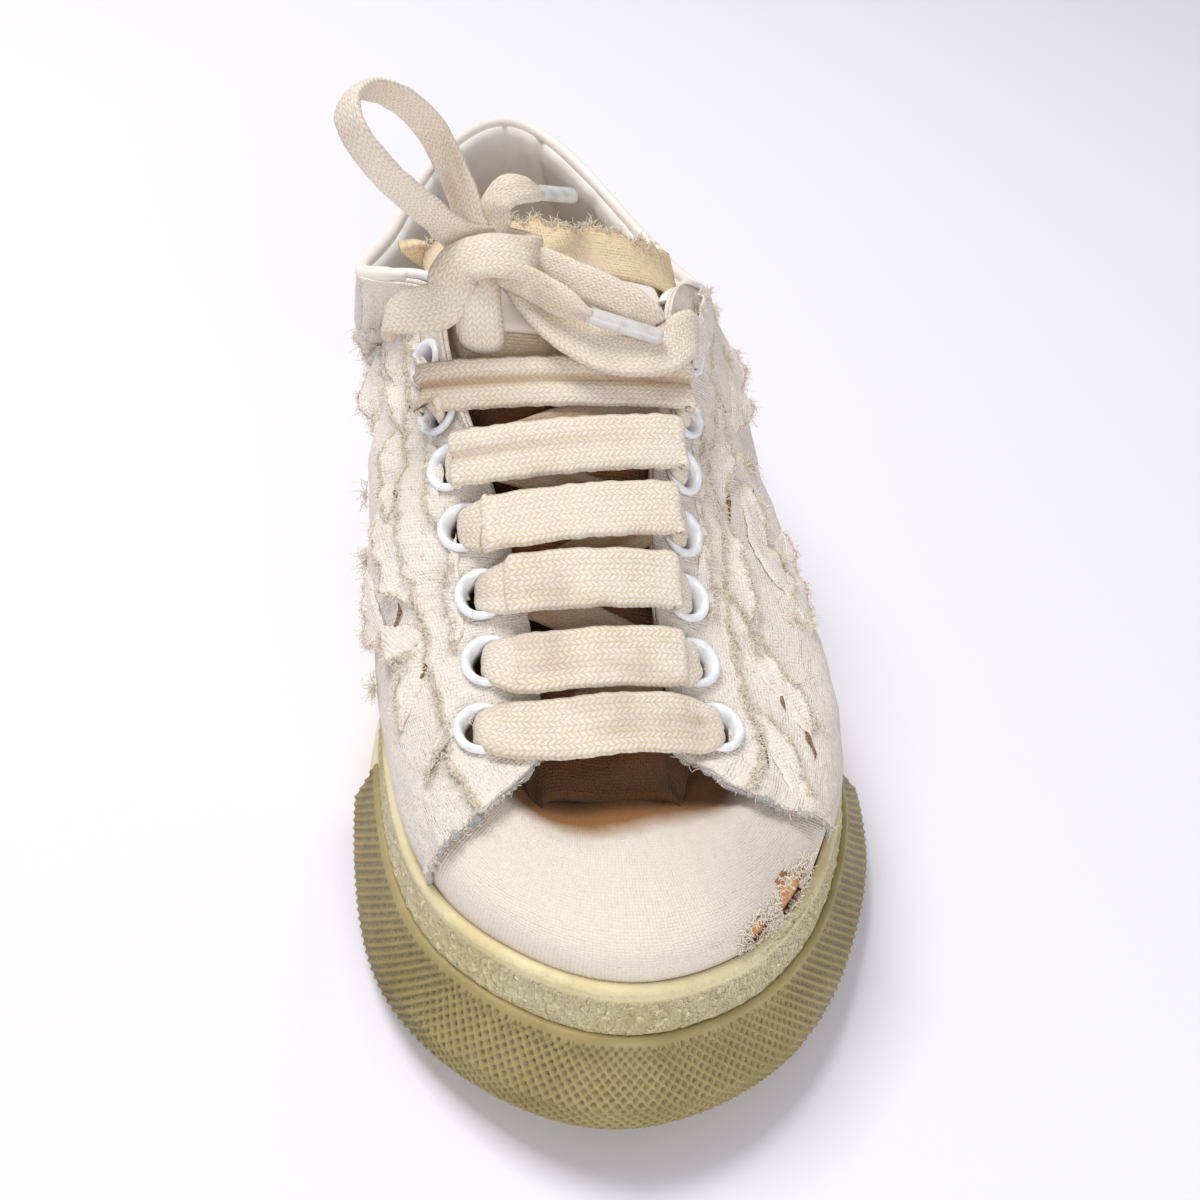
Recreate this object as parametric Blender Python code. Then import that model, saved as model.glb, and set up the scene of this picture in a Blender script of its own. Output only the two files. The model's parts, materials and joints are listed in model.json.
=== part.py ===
"""A worn-out low lace-up canvas sneaker, left shoe, standing empty on its sole.

The shoe is worked out in millimetres around its sole: the toe points to -Y, the inner (medial)
side is at -X and the outer (lateral) side at +X. A section table has one row for each rib of the
last. A rib starts on the sole's outline, climbs the rubber side wall, and runs up the upper to the
edge of the opening, which is the collar at the back and the throat at the front. The ring of ribs
is closed, so a place on the shoe is a pair: `turn` counts rows around the ring, and `rise` goes
from 0 at the rubber to 1 at the opening.
"""

import math
from collections import namedtuple

import bpy
import bmesh
import numpy as np
from mathutils import Matrix, Vector

MILLIMETRE = 0.001

# Driving dimensions, in millimetres.
SOLE_LENGTH = 271.7
BALL_WIDTH = 107.5
UPPER_WALL = 1.8
QUARTER_STEP = 1.2
CONTACT_GAP = 0.3
TOE_SPRING = 8.0
SPRING_START = -68.0
SPRING_SPAN = 68.0
ARCH_LIFT = 1.2
ARCH_MIDDLE = 8.0
ARCH_HALF = 40.0
FLOOR_THICKNESS = 7.0
HEEL_WEDGE = 3.0
WEDGE_SPAN = (-20.0, 60.0)
RUBBER_LIP = 2.0
BUMPER_DROP = 8.8
INSOLE_THICKNESS = 3.2
TONGUE_THICKNESS = 2.6
LACE_WIDTH = 10.0
LACE_THICKNESS = 1.8
EYELET_RADIUS = 5.0
EYELET_BORE = 2.5

# The section table's own length and width, and its middle, which goes to the origin.
TABLE_LENGTH = 271.7
TABLE_WIDTH = 107.5
MIDDLE_X = 0.72
MIDDLE_Y = -0.885

SECTION_COLUMNS = ("sole_x", "sole_y", "wall_top", "wall_lean",
                   "open_x", "open_y", "open_z", "climb", "bulge", "run", "pitch")

# One row for each rib, from the toe round the medial side to the heel and back. sole_x and sole_y
# are on the sole's widest line. wall_top is the height of the rubber, wall_lean how far its top
# stands inside that line. open_x, open_y and open_z are on the edge of the opening. climb and bulge
# are the length and outward angle of the rib's lower pull, run and pitch those of its upper pull.
SECTIONS = (
    # name              sole_x sole_y  top  lean  open_x open_y open_z climb bulge run pitch
    ("toe",            -10.0, -135.7, 33.5, 11.5,  -5.0, -77.0, 46.0, 12,  0, 30, 12),
    ("toe_medial",     -37.0, -120.5, 31.0, 10.2, -14.0, -78.0, 45.5, 13,  4, 26, 14),
    ("fore_medial",    -50.3,  -96.5, 28.5,  8.0, -19.5, -73.5, 47.0, 15, 10, 20, 12),
    ("ball_medial",    -53.0,  -66.0, 26.5,  5.8, -20.5, -60.0, 53.5, 19, 16, 22, 14),
    ("joint_medial",   -51.0,  -38.0, 25.5,  5.0, -23.0, -45.0, 61.5, 27, 24, 24,  8),
    ("waist_medial",   -45.0,   -8.0, 25.0,  4.5, -28.0, -25.0, 72.5, 35, 38, 25,  8),
    ("arch_medial",    -40.5,   20.0, 25.0,  4.0, -33.5,  -5.0, 83.5, 41, 44, 26, 13),
    ("eyestay_medial", -38.5,   38.0, 25.5,  4.0, -37.0,   9.0, 90.0, 40, 44, 20, 26),
    ("corner_medial",  -37.0,   54.0, 26.0,  4.0, -50.0,  23.0, 84.0, 34, 44, 16, 84),
    ("collar_medial",  -36.0,   74.0, 26.5,  4.0, -44.5,  50.0, 77.5, 26, 32, 16, 80),
    ("heel_medial",    -34.0,   97.0, 27.0,  4.0, -36.5,  84.0, 73.5, 22, 18, 16, 80),
    ("seat_medial",    -24.5,  123.0, 28.0,  4.5, -24.5, 111.5, 75.0, 20, 14, 18, 78),
    ("heel",            -4.0,  136.0, 28.5,  5.0,  -7.5, 125.0, 75.5, 22, 16, 20, 78),
    ("seat_lateral",    19.0,  125.0, 28.0,  4.5,   8.5, 111.0, 71.0, 20, 14, 18, 74),
    ("heel_lateral",    33.5,  102.0, 27.0,  4.0,  20.0,  85.0, 67.0, 20, 14, 16, 72),
    ("collar_lateral",  39.5,   76.0, 26.0,  4.5,  26.5,  56.0, 69.0, 24, 14, 18, 70),
    ("corner_lateral",  43.0,   52.0, 25.5,  5.0,  25.5,  31.0, 78.0, 28, 14, 22, 62),
    ("eyestay_lateral", 45.5,   32.0, 25.0,  5.5,  13.5,  10.5, 89.5, 32, 10, 24, 34),
    ("arch_lateral",    48.5,   12.0, 25.0,  6.0,   9.0,  -5.0, 83.5, 29, 10, 24, 40),
    ("waist_lateral",   52.0,  -13.0, 24.5,  7.0,   5.0, -25.0, 72.5, 26,  8, 26, 36),
    ("joint_lateral",   54.5,  -42.0, 24.5,  8.0,   3.0, -45.0, 61.5, 22,  8, 26, 30),
    ("ball_lateral",    53.0,  -70.0, 25.0,  9.0,   3.0, -60.0, 53.5, 18,  8, 26, 24),
    ("fore_lateral",    43.7,  -95.7, 27.5,  9.5,   4.0, -73.5, 47.0, 14,  6, 26, 16),
    ("toe_lateral",     23.3, -122.5, 31.0,  9.8,   1.0, -78.0, 45.5, 12,  2, 28, 12),
)
THROAT_SLOPE = np.array([0.0, 0.88, 0.47])
THROAT_NORMAL = np.array([0.0, -0.47, 0.88])
BEND_WEIGHT = 100.0
ROW = {row[0]: index for index, row in enumerate(SECTIONS)}
RING = len(SECTIONS)

# Profile of the rubber side wall, from the ground up to the bead. lean is the share of wall_lean,
# inset is millimetres further inside the outline, from_top is the depth below wall_top.
WALL_LEVELS = (
    # name           lean  inset  from_ground from_top
    ("sole_edge",    0.00,  4.2,   0.0,  None),
    ("sole_round",   0.00,  2.9,   2.2,  None),
    ("wall_low",     0.04,  2.6,   6.5,  None),
    ("wall_high",    0.60,  2.9,  None,   9.0),
    ("band_foot",    0.70,  1.0,  None,   8.4),
    ("band_head",    0.92,  0.8,  None,   3.2),
    ("bead_foot",    0.94, -0.2,  None,   2.3),
    ("bead_side",    0.97, -0.5,  None,   1.2),
    ("bead_head",    1.00,  0.3,  None,   0.1),
    ("wall_lip",     1.00,  1.2,  None,   0.0),
)


# Numbers -------------------------------------------------------------------------------------

def table(rows, names, columns):
    """Return the rows' numbers as an array with one row for each section."""
    assert all(len(row) == len(columns) + names for row in rows)
    return np.array([row[names:] for row in rows], dtype=float)


def closed_spline(knots, turn):
    """Evaluate the smooth closed curve through `knots` at each `turn`, counted in rows."""
    count = len(knots)
    before = np.roll(knots, 1, axis=0)
    after = np.roll(knots, -1, axis=0)
    system = 4.0 * np.eye(count) + np.roll(np.eye(count), 1, axis=1) + np.roll(np.eye(count), -1, axis=1)
    slope = np.linalg.solve(system, 3.0 * (after - before))
    turn = np.asarray(turn, dtype=float) % count
    start = np.floor(turn).astype(int) % count
    end = (start + 1) % count
    share = (turn - np.floor(turn))[..., None]
    return ((2 * share**3 - 3 * share**2 + 1) * knots[start]
            + (share**3 - 2 * share**2 + share) * slope[start]
            + (3 * share**2 - 2 * share**3) * knots[end]
            + (share**3 - share**2) * slope[end])


def open_spline(points, count):
    """Return `count` evenly spaced points on a smooth curve through `points`."""
    points = np.asarray(points, dtype=float)
    last = len(points) - 1
    slope = np.gradient(points, axis=0)
    place = np.linspace(0.0, last, 40 * last + 1)
    start = np.minimum(place.astype(int), last - 1)
    share = (place - start)[:, None]
    curve = ((2 * share**3 - 3 * share**2 + 1) * points[start]
             + (share**3 - 2 * share**2 + share) * slope[start]
             + (3 * share**2 - 2 * share**3) * points[start + 1]
             + (share**3 - share**2) * slope[start + 1])
    travelled = np.concatenate([[0.0], np.cumsum(np.linalg.norm(np.diff(curve, axis=0), axis=1))])
    stops = np.linspace(0.0, travelled[-1], count)
    return np.stack([np.interp(stops, travelled, curve[:, axis]) for axis in range(3)], axis=1)


def unit(vectors):
    """Scale vectors to length one."""
    return vectors / np.linalg.norm(vectors, axis=-1, keepdims=True)


def smooth_step(start, end, value):
    """Rise softly from 0 at `start` to 1 at `end`."""
    share = np.clip((value - start) / (end - start), 0.0, 1.0)
    return share * share * (3.0 - 2.0 * share)


# The last ------------------------------------------------------------------------------------

def section_table():
    """Return the section table at this shoe's own length and width."""
    values = table(SECTIONS, 1, SECTION_COLUMNS)
    along = SOLE_LENGTH / TABLE_LENGTH
    across = BALL_WIDTH / TABLE_WIDTH
    for column, scale in (("sole_x", across), ("sole_y", along), ("open_x", across), ("open_y", along)):
        values[:, SECTION_COLUMNS.index(column)] *= scale
    return values


LAST = section_table()


def sections(turn):
    """Return a dictionary of the table's columns at each `turn`."""
    values = closed_spline(LAST, turn)
    return {name: values[..., index] for index, name in enumerate(SECTION_COLUMNS)}


def outline(turn, inset):
    """Return points of the sole's outline, moved inside by `inset`, and the outward normals."""
    step = 0.001
    turn = np.asarray(turn, dtype=float)
    here = closed_spline(LAST[:, :2], turn)
    along = unit(closed_spline(LAST[:, :2], turn + step) - closed_spline(LAST[:, :2], turn - step))
    outward = np.stack([-along[..., 1], along[..., 0]], axis=-1)
    return here - outward * np.asarray(inset)[..., None], outward


def even_turns(start, end, count):
    """Return `count` turns from start to end, closer together where the outline bends."""
    fine = np.linspace(start, end, 1200)
    plan, outward = outline(fine, 0.0)
    length = np.linalg.norm(np.diff(plan, axis=0), axis=1)
    bend = np.linalg.norm(np.diff(outward, axis=0), axis=1)
    walk = np.concatenate([[0.0], np.cumsum(length + BEND_WEIGHT * bend)])
    return np.interp(np.linspace(0.0, walk[-1], count), walk, fine)


def ring_turns(count):
    """Return `count` turns around the whole outline."""
    return even_turns(0.0, RING, count + 1)[:-1]


def ground(y):
    """Height of the sole's underside: flat at ball and heel, sprung at the toe, lifted at the arch."""
    toe = TOE_SPRING * np.clip((SPRING_START - y) / SPRING_SPAN, 0.0, 1.1) ** 2
    arch = ARCH_LIFT * np.clip(1.0 - ((y - ARCH_MIDDLE) / ARCH_HALF) ** 2, 0.0, 1.0) ** 2
    return toe + arch


def floor_height(y):
    """Height of the floor inside the sole, which is thicker under the heel."""
    return ground(y) + FLOOR_THICKNESS + HEEL_WEDGE * smooth_step(*WEDGE_SPAN, y)


def wall_inside(turn):
    """Inset of the rubber wall's inner face from the sole's outline."""
    return sections(turn)["wall_lean"] + RUBBER_LIP


def upper_points(turn, rise):
    """Points of the upper's outer surface, without the quarters' step."""
    turn = np.asarray(turn, dtype=float)
    rise = np.asarray(rise, dtype=float)[..., None]
    row = sections(turn)
    foot_xy, outward = outline(turn, wall_inside(turn) + CONTACT_GAP)
    foot = np.concatenate([foot_xy, row["wall_top"][..., None]], axis=-1)
    rim = np.stack([row["open_x"], row["open_y"], row["open_z"]], axis=-1)
    bulge = np.radians(row["bulge"])[..., None]
    up = np.concatenate([outward * np.sin(bulge), np.cos(bulge)], axis=-1)
    inward = unit(rim[..., :2] - foot[..., :2])
    pitch = np.radians(row["pitch"])[..., None]
    over = np.concatenate([inward * np.cos(pitch), np.sin(pitch)], axis=-1)
    low_pull = foot + row["climb"][..., None] * up
    high_pull = rim - row["run"][..., None] * over
    return ((1 - rise)**3 * foot + 3 * (1 - rise)**2 * rise * low_pull
            + 3 * (1 - rise) * rise**2 * high_pull + rise**3 * rim)


def upper_at(turn, rise, lift):
    """Points lifted by `lift` along the upper's outward normal."""
    turn, rise, lift = np.broadcast_arrays(np.asarray(turn, float), np.asarray(rise, float),
                                           np.asarray(lift, float))
    step = 0.004
    low = np.clip(rise - step, 0.0, 1.0)
    high = np.clip(rise + step, 0.0, 1.0)
    around = upper_points(turn + step, rise) - upper_points(turn - step, rise)
    upward = upper_points(turn, high) - upper_points(turn, low)
    normal = unit(np.cross(upward, around))
    return upper_points(turn, rise) + normal * lift[..., None]


# Meshes --------------------------------------------------------------------------------------

def principled(name, colour, roughness, metallic=0.0):
    """Make a plain Principled material."""
    material = bpy.data.materials.new(name)
    material.use_nodes = True
    shader = material.node_tree.nodes["Principled BSDF"]
    shader.inputs["Base Color"].default_value = (*colour, 1.0)
    shader.inputs["Roughness"].default_value = roughness
    shader.inputs["Metallic"].default_value = metallic
    return material


def place(points):
    """Turn table millimetres into metres about the shoe's middle."""
    moved = np.asarray(points, dtype=float) - np.array([MIDDLE_X, MIDDLE_Y, 0.0])
    return moved * MILLIMETRE


def finish(name, work, material, collection, smooth=40.0):
    """Turn a bmesh into the named object and return it."""
    bmesh.ops.recalc_face_normals(work, faces=work.faces[:])
    mesh = bpy.data.meshes.new(name)
    work.to_mesh(mesh)
    work.free()
    mesh.materials.append(material)
    mesh.shade_smooth()
    mesh.set_sharp_from_angle(angle=math.radians(smooth))
    piece = bpy.data.objects.new(name, mesh)
    collection.objects.link(piece)
    return piece


def stacked_rings(rings):
    """Join closed rings of equal count into one solid, with a pole at each end."""
    work = bmesh.new()
    verts = [[work.verts.new(point) for point in place(ring)] for ring in rings]
    count = len(verts[1])
    for low, high in zip(verts[1:-2], verts[2:-1]):
        for index in range(count):
            after = (index + 1) % count
            work.faces.new((low[index], low[after], high[after], high[index]))
    for pole, ring in ((verts[0], verts[1]), (verts[-1], verts[-2])):
        for index in range(count):
            work.faces.new((pole[0], ring[index], ring[(index + 1) % count]))
    return work


def shell(outer, inner, closed):
    """Join two sheets of points into one wall. Each is (rows, columns, 3); closed wraps columns."""
    work = bmesh.new()
    loop = np.concatenate([outer, inner[::-1]], axis=0)
    rows, columns = loop.shape[:2]
    verts = [[work.verts.new(point) for point in place(row)] for row in loop]
    for row in range(rows):
        above = (row + 1) % rows
        for column in range(columns if closed else columns - 1):
            after = (column + 1) % columns
            work.faces.new((verts[row][column], verts[row][after], verts[above][after], verts[above][column]))
    if not closed:
        half = rows // 2
        for column in (0, columns - 1):
            for row in range(half - 1):
                work.faces.new((verts[row][column], verts[row + 1][column],
                                verts[rows - 2 - row][column], verts[rows - 1 - row][column]))
    return work


def offset_sheet(sheet, distance):
    """Move a sheet of points along its own normals."""
    down = np.gradient(sheet, axis=0)
    across = np.gradient(sheet, axis=1)
    return sheet + unit(np.cross(across, down)) * distance


def ribbon(path, across, width, thickness):
    """Sweep a flat lace with soft edges along `path`; `across` is its width direction."""
    path = np.asarray(path, dtype=float)
    along = unit(np.gradient(path, axis=0))
    across = np.broadcast_to(np.asarray(across, dtype=float), path.shape)
    across = unit(across - (across * along).sum(-1, keepdims=True) * along)
    up = np.cross(along, across)
    half, deep = width / 2, thickness / 2
    corners = ((-half, 0.0), (-half * 0.86, -deep), (half * 0.86, -deep),
               (half, 0.0), (half * 0.86, deep), (-half * 0.86, deep))
    work = bmesh.new()
    loops = []
    for point, side, rise in zip(path, across, up):
        loops.append([work.verts.new(place(point + side * x + rise * z)) for x, z in corners])
    for low, high in zip(loops, loops[1:]):
        for index in range(len(corners)):
            after = (index + 1) % len(corners)
            work.faces.new((low[index], low[after], high[after], high[index]))
    work.faces.new(loops[0])
    work.faces.new(loops[-1])
    return work


# Sole ----------------------------------------------------------------------------------------

SOLE_COLUMNS = 60
DISH_RINGS = (0.8, 0.52, 0.3)
TREAD_BARS = (
    # name       first_y  count  pitch
    ("forefoot", -94.6,    6,    12.6),
    ("heel",      56.4,    5,    12.6),
)
TREAD_DEPTH = 1.4
TREAD_WIDTH = 4.0
TREAD_RIM = 9.0
INSOLE_COLUMNS = 40
INSOLE_REST = 0.7
INSOLE_SIDE_GAP = 0.5
INSOLE_ROUND = 0.8
BUMPER_START = ROW["ball_lateral"] - 0.45
BUMPER_END = RING + ROW["ball_medial"] + 0.35
BUMPER_RIBS = 36
RIB_DEPTH = 0.5
RIB_SLANT = 0.035
BUMPER_LEVELS = (
    # face inset, lean; back inset, lean; above ground, below wall top; ribbed
    (1.6, 0.00, 2.3, 0.00, 1.2, None, 0.0),
    (0.0, 0.00, 2.3, 0.00, 3.4, None, 1.0),
    (0.0, 0.02, 2.3, 0.10, 8.0, None, 1.0),
    (0.2, 0.50, 2.5, 0.47, None, BUMPER_DROP + 2.6, 1.0),
    (0.1, 0.56, 2.5, 0.53, None, BUMPER_DROP + 1.4, 0.0),
    (0.3, 0.62, 2.4, 0.60, None, BUMPER_DROP + 0.1, 0.0),
)


def dish(edge, height):
    """Rings that fill the flat ring `edge` towards its middle, at height(y)."""
    middle = edge.mean(axis=0)
    rings = []
    for share in DISH_RINGS:
        plan = middle + (edge - middle) * share
        rings.append(np.column_stack([plan, height(plan[:, 1])]))
    rings.append(np.array([[middle[0], middle[1], float(height(middle[1]))]]))
    return rings


def wall_level(turn, level):
    """Points of the rubber wall's outer face at one level of its profile."""
    _, lean, inset, from_ground, from_top = level
    row = sections(turn)
    plan = outline(turn, row["wall_lean"] * lean + inset)[0]
    base = ground(plan[:, 1]) + from_ground if from_top is None else row["wall_top"] - from_top
    return np.column_stack([plan, base])


def make_outsole(material, collection, cutters):
    """Sole cup: tread face, leaning side wall with band and bead, lip, inner face and floor."""
    turn = ring_turns(SOLE_COLUMNS)
    walls = [wall_level(turn, level) for level in WALL_LEVELS]
    inner = outline(turn, wall_inside(turn))[0]
    lip = np.column_stack([inner, sections(turn)["wall_top"]])
    seat = np.column_stack([inner, floor_height(inner[:, 1])])
    underside = dish(walls[0][:, :2], ground)[::-1]
    rings = underside + walls + [lip, seat] + dish(inner, floor_height)
    work = stacked_rings(rings)
    bmesh.ops.triangulate(work, faces=work.faces[:])
    sole = finish("outsole", work, material, collection)
    cut_tread(sole, cutters)
    return sole


def span_at(y, inset):
    """Return the lowest and highest x of the sole's outline at `y`, moved inside by `inset`."""
    plan = outline(np.linspace(0.0, RING, 480, endpoint=False), inset)[0]
    near = plan[np.abs(plan[:, 1] - y) < 1.5]
    return near[:, 0].min(), near[:, 0].max()


def cut_tread(sole, cutters):
    """Cut the lugs' cross grooves into the underside, inside a plain rim."""
    for name, first_y, count, pitch in TREAD_BARS:
        for index in range(count):
            y = first_y + pitch * index
            low, high = span_at(y, TREAD_RIM)
            work = bmesh.new()
            bmesh.ops.create_cube(work, size=1.0)
            bmesh.ops.scale(work, vec=Vector((high - low, TREAD_WIDTH, TREAD_DEPTH * 2)) * MILLIMETRE,
                            verts=work.verts)
            centre = place((0.5 * (low + high), y, float(ground(y))))
            bmesh.ops.translate(work, vec=Vector(centre), verts=work.verts)
            cutter = finish(f"groove_{name}_{index + 1}", work, sole.data.materials[0], cutters)
            cutter.hide_render = True
            cutter.display_type = "WIRE"
            cut = sole.modifiers.new(cutter.name, "BOOLEAN")
            cut.operation = "DIFFERENCE"
            cut.object = cutter


def make_insole(material, collection):
    """Footbed that fills the upper's open underside and rests on the sole's floor."""
    turn = ring_turns(INSOLE_COLUMNS)
    inset = wall_inside(turn) + CONTACT_GAP + UPPER_WALL + INSOLE_SIDE_GAP
    edge = outline(turn, inset)[0]
    soft = outline(turn, inset + INSOLE_ROUND)[0]
    low = floor_height(edge[:, 1]) + INSOLE_REST
    top = low + INSOLE_THICKNESS
    base = dish(edge, lambda y: floor_height(y) + INSOLE_REST)[::-1]
    crown = dish(soft, lambda y: floor_height(y) + INSOLE_REST + INSOLE_THICKNESS)
    rings = base + [np.column_stack([edge, low]), np.column_stack([edge, top - INSOLE_ROUND]),
                    np.column_stack([soft, top])] + crown
    return finish("insole", stacked_rings(rings), material, collection)


def make_bumper(material, collection):
    """Ribbed strip around the toe, proud of the side wall, with a smooth line along its top."""
    count = 2 * BUMPER_RIBS + 1
    base = np.linspace(BUMPER_START, BUMPER_END, count)
    groove = (np.arange(count) % 2) * RIB_DEPTH
    free = 1.0 - np.linspace(-1.0, 1.0, count) ** 8
    outer, inner = [], []
    for step, (face, face_lean, back, back_lean, above, below, ribbed) in enumerate(BUMPER_LEVELS):
        turn = base + RIB_SLANT * step * free
        row = sections(turn)
        face_inset = face + groove * ribbed + row["wall_lean"] * face_lean
        back_inset = back + row["wall_lean"] * back_lean
        for sheet, inset in ((outer, face_inset), (inner, back_inset)):
            plan = outline(turn, inset)[0]
            height = ground(plan[:, 1]) + above if below is None else row["wall_top"] - below
            sheet.append(np.column_stack([plan, height]))
    return finish("toe_bumper", shell(np.array(outer), np.array(inner), False), material, collection, 25.0)


# Upper ---------------------------------------------------------------------------------------

# The quarters' front edges lie on the vamp from the rubber up to the throat, given in turns.
QUARTER_EDGE = {
    "medial": (1.95, 1.45),
    "lateral": (21.85, 22.70),
}
QUARTER_COLUMNS = 48
VAMP_COLUMNS = 13
STEP_TURNS = 0.03
RISE_LEVELS = (0.0, 0.07, 0.17, 0.29, 0.42, 0.56, 0.70, 0.83, 0.93, 1.0)
SKIRT_SHARES = (0.0, 0.5)
STEP_FULL_RISE = 0.07


def upper_columns(rise):
    """Return the turns of the upper's columns at one rise, and which of them are quarter."""
    medial = np.interp(rise, (0.0, 1.0), QUARTER_EDGE["medial"])
    lateral = np.interp(rise, (0.0, 1.0), QUARTER_EDGE["lateral"])
    quarter = even_turns(medial, lateral, QUARTER_COLUMNS)
    vamp = even_turns(lateral + STEP_TURNS, medial + RING - STEP_TURNS, VAMP_COLUMNS)
    return np.concatenate([quarter, vamp]), np.arange(QUARTER_COLUMNS + VAMP_COLUMNS) < QUARTER_COLUMNS


def make_upper(material, collection, cutters, eyelets):
    """Vamp and quarters as one hollow wall, with a skirt that goes down inside the sole."""
    outer, inner = [], []
    turn, quarter = upper_columns(0.0)
    for share in SKIRT_SHARES:
        for sheet, inset in ((outer, 0.0), (inner, UPPER_WALL)):
            plan = outline(turn, wall_inside(turn) + CONTACT_GAP + inset)[0]
            low = floor_height(plan[:, 1]) + CONTACT_GAP
            sheet.append(np.column_stack([plan, low + (sections(turn)["wall_top"] - low) * share]))
    for rise in RISE_LEVELS:
        turn, quarter = upper_columns(rise)
        proud = QUARTER_STEP * min(rise / STEP_FULL_RISE, 1.0) * quarter
        outer.append(upper_at(turn, rise, proud))
        inner.append(upper_at(turn, rise, -UPPER_WALL))
    wall = shell(np.array(outer), np.array(inner), True)
    bmesh.ops.triangulate(wall, faces=wall.faces[:])
    upper = finish("upper", wall, material, collection)
    for site in eyelets:
        work = bmesh.new()
        bmesh.ops.create_cone(work, cap_ends=True, segments=EYELET_SEGMENTS, radius1=HOLE_RADIUS * MILLIMETRE,
                              radius2=HOLE_RADIUS * MILLIMETRE, depth=2 * HOLE_HALF_DEPTH * MILLIMETRE)
        turn_to = Vector((0.0, 0.0, 1.0)).rotation_difference(Vector(site.normal))
        bmesh.ops.rotate(work, cent=Vector(), matrix=turn_to.to_matrix(), verts=work.verts)
        bmesh.ops.translate(work, vec=Vector(place(site.centre)), verts=work.verts)
        cutter = finish(f"hole_{site.name}", work, material, cutters)
        cutter.hide_render = True
        cutter.display_type = "WIRE"
        cut = upper.modifiers.new(cutter.name, "BOOLEAN")
        cut.operation = "DIFFERENCE"
        cut.object = cutter
    return upper


COUNTER_GAP = 0.5
COUNTER_THICKNESS = 1.2
COUNTER_COLUMNS = 15
COUNTER_LEVELS = 5
COUNTER_FOOT = 0.09
COUNTER_SIDE_TOP = 0.52
COUNTER_BACK_TOP = 0.88
COUNTER_SPAN = (ROW["heel_medial"] + 0.2, ROW["heel_lateral"] - 0.2)


def make_heel_counter(material, collection):
    """Overlay round the heel, outside the quarters, highest at the back."""
    turn = even_turns(*COUNTER_SPAN, COUNTER_COLUMNS)
    middle = np.cos((turn - ROW["heel"]) * math.pi / 4.0) ** 2
    top = COUNTER_SIDE_TOP + (COUNTER_BACK_TOP - COUNTER_SIDE_TOP) * middle
    outer, inner = [], []
    for share in np.linspace(0.0, 1.0, COUNTER_LEVELS):
        rise = COUNTER_FOOT + (top - COUNTER_FOOT) * share
        outer.append(upper_at(turn, rise, QUARTER_STEP + COUNTER_GAP + COUNTER_THICKNESS))
        inner.append(upper_at(turn, rise, QUARTER_STEP + COUNTER_GAP))
    return finish("heel_counter", shell(np.array(outer), np.array(inner), False), material, collection)


# Tongue: each row crosses the shoe under the upper, from a place on its medial half to one on its
# lateral half. crown is the height of the middle above the line between the throat's edges.
TONGUE_ROWS = (
    # name          turn_medial turn_lateral edge_rise side_rise crown
    ("under_vamp",   1.10,       23.10,       0.86,     0.76,    0.0),
    ("throat_front", 1.65,       22.85,       1.00,     0.86,   -0.6),
    ("row_2",        3.00,       21.00,       1.00,     0.80,    1.6),
    ("row_3",        4.00,       20.00,       1.00,     0.78,    2.0),
    ("row_4",        5.00,       19.00,       1.00,     0.76,    2.0),
    ("row_5",        5.50,       18.50,       1.00,     0.76,    2.2),
    ("row_6",        6.00,       18.00,       1.00,     0.76,    2.2),
    ("row_7",        6.50,       17.50,       1.00,     0.76,    2.2),
    ("eyestay_top",  6.90,       17.10,       1.00,     0.76,    2.0),
)
TONGUE_EDGE_DEPTH = 4.0
TONGUE_SIDE_DEPTH = 5.0
TONGUE_TOP = ((-42.8, 20.0, 91.5), (-33.0, 20.5, 94.5), (-12.5, 21.5, 96.5), (8.0, 20.5, 94.5),
              (14.4, 21.5, 92.5))
TONGUE_COLUMNS = 11
TONGUE_LENGTHS = 15


def tongue_sheet(rows, columns):
    """Return the tongue's top surface as (rows, columns) points, from its front to its top edge."""
    across = []
    for _, turn_medial, turn_lateral, edge_rise, side_rise, crown in TONGUE_ROWS:
        turns = np.array([turn_medial, turn_medial, turn_lateral, turn_lateral])
        rises = np.array([side_rise, edge_rise, edge_rise, side_rise])
        depths = -np.array([TONGUE_SIDE_DEPTH, TONGUE_EDGE_DEPTH, TONGUE_EDGE_DEPTH, TONGUE_SIDE_DEPTH])
        side_m, edge_m, edge_l, side_l = upper_at(turns, rises, depths)
        middle = (edge_m + edge_l) / 2 + THROAT_NORMAL * crown
        across.append(open_spline([side_m, edge_m, middle, edge_l, side_l], columns))
    across.append(open_spline(TONGUE_TOP, columns))
    across = np.array(across)
    return np.stack([open_spline(across[:, column], rows) for column in range(columns)], axis=1)


def make_tongue(material, collection):
    """Canvas tongue, from under the vamp to above the top eyelets."""
    top = tongue_sheet(TONGUE_LENGTHS, TONGUE_COLUMNS)
    under = offset_sheet(top, -TONGUE_THICKNESS)
    return finish("tongue", shell(top, under, False), material, collection)


PATCH_GAP = 0.6
PATCH_THICKNESS = 0.9
PATCH_ROWS = slice(11, 14)
PATCH_COLUMNS = slice(3, 8)


def make_tongue_patch(material, collection):
    """Smooth leather patch across the tongue's top."""
    sheet = tongue_sheet(TONGUE_LENGTHS, TONGUE_COLUMNS)
    low = offset_sheet(sheet, PATCH_GAP)[PATCH_ROWS, PATCH_COLUMNS]
    high = offset_sheet(sheet, PATCH_GAP + PATCH_THICKNESS)[PATCH_ROWS, PATCH_COLUMNS]
    return finish("tongue_patch", shell(high, low, False), material, collection)


# Eyelets and lace ------------------------------------------------------------------------------

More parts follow.
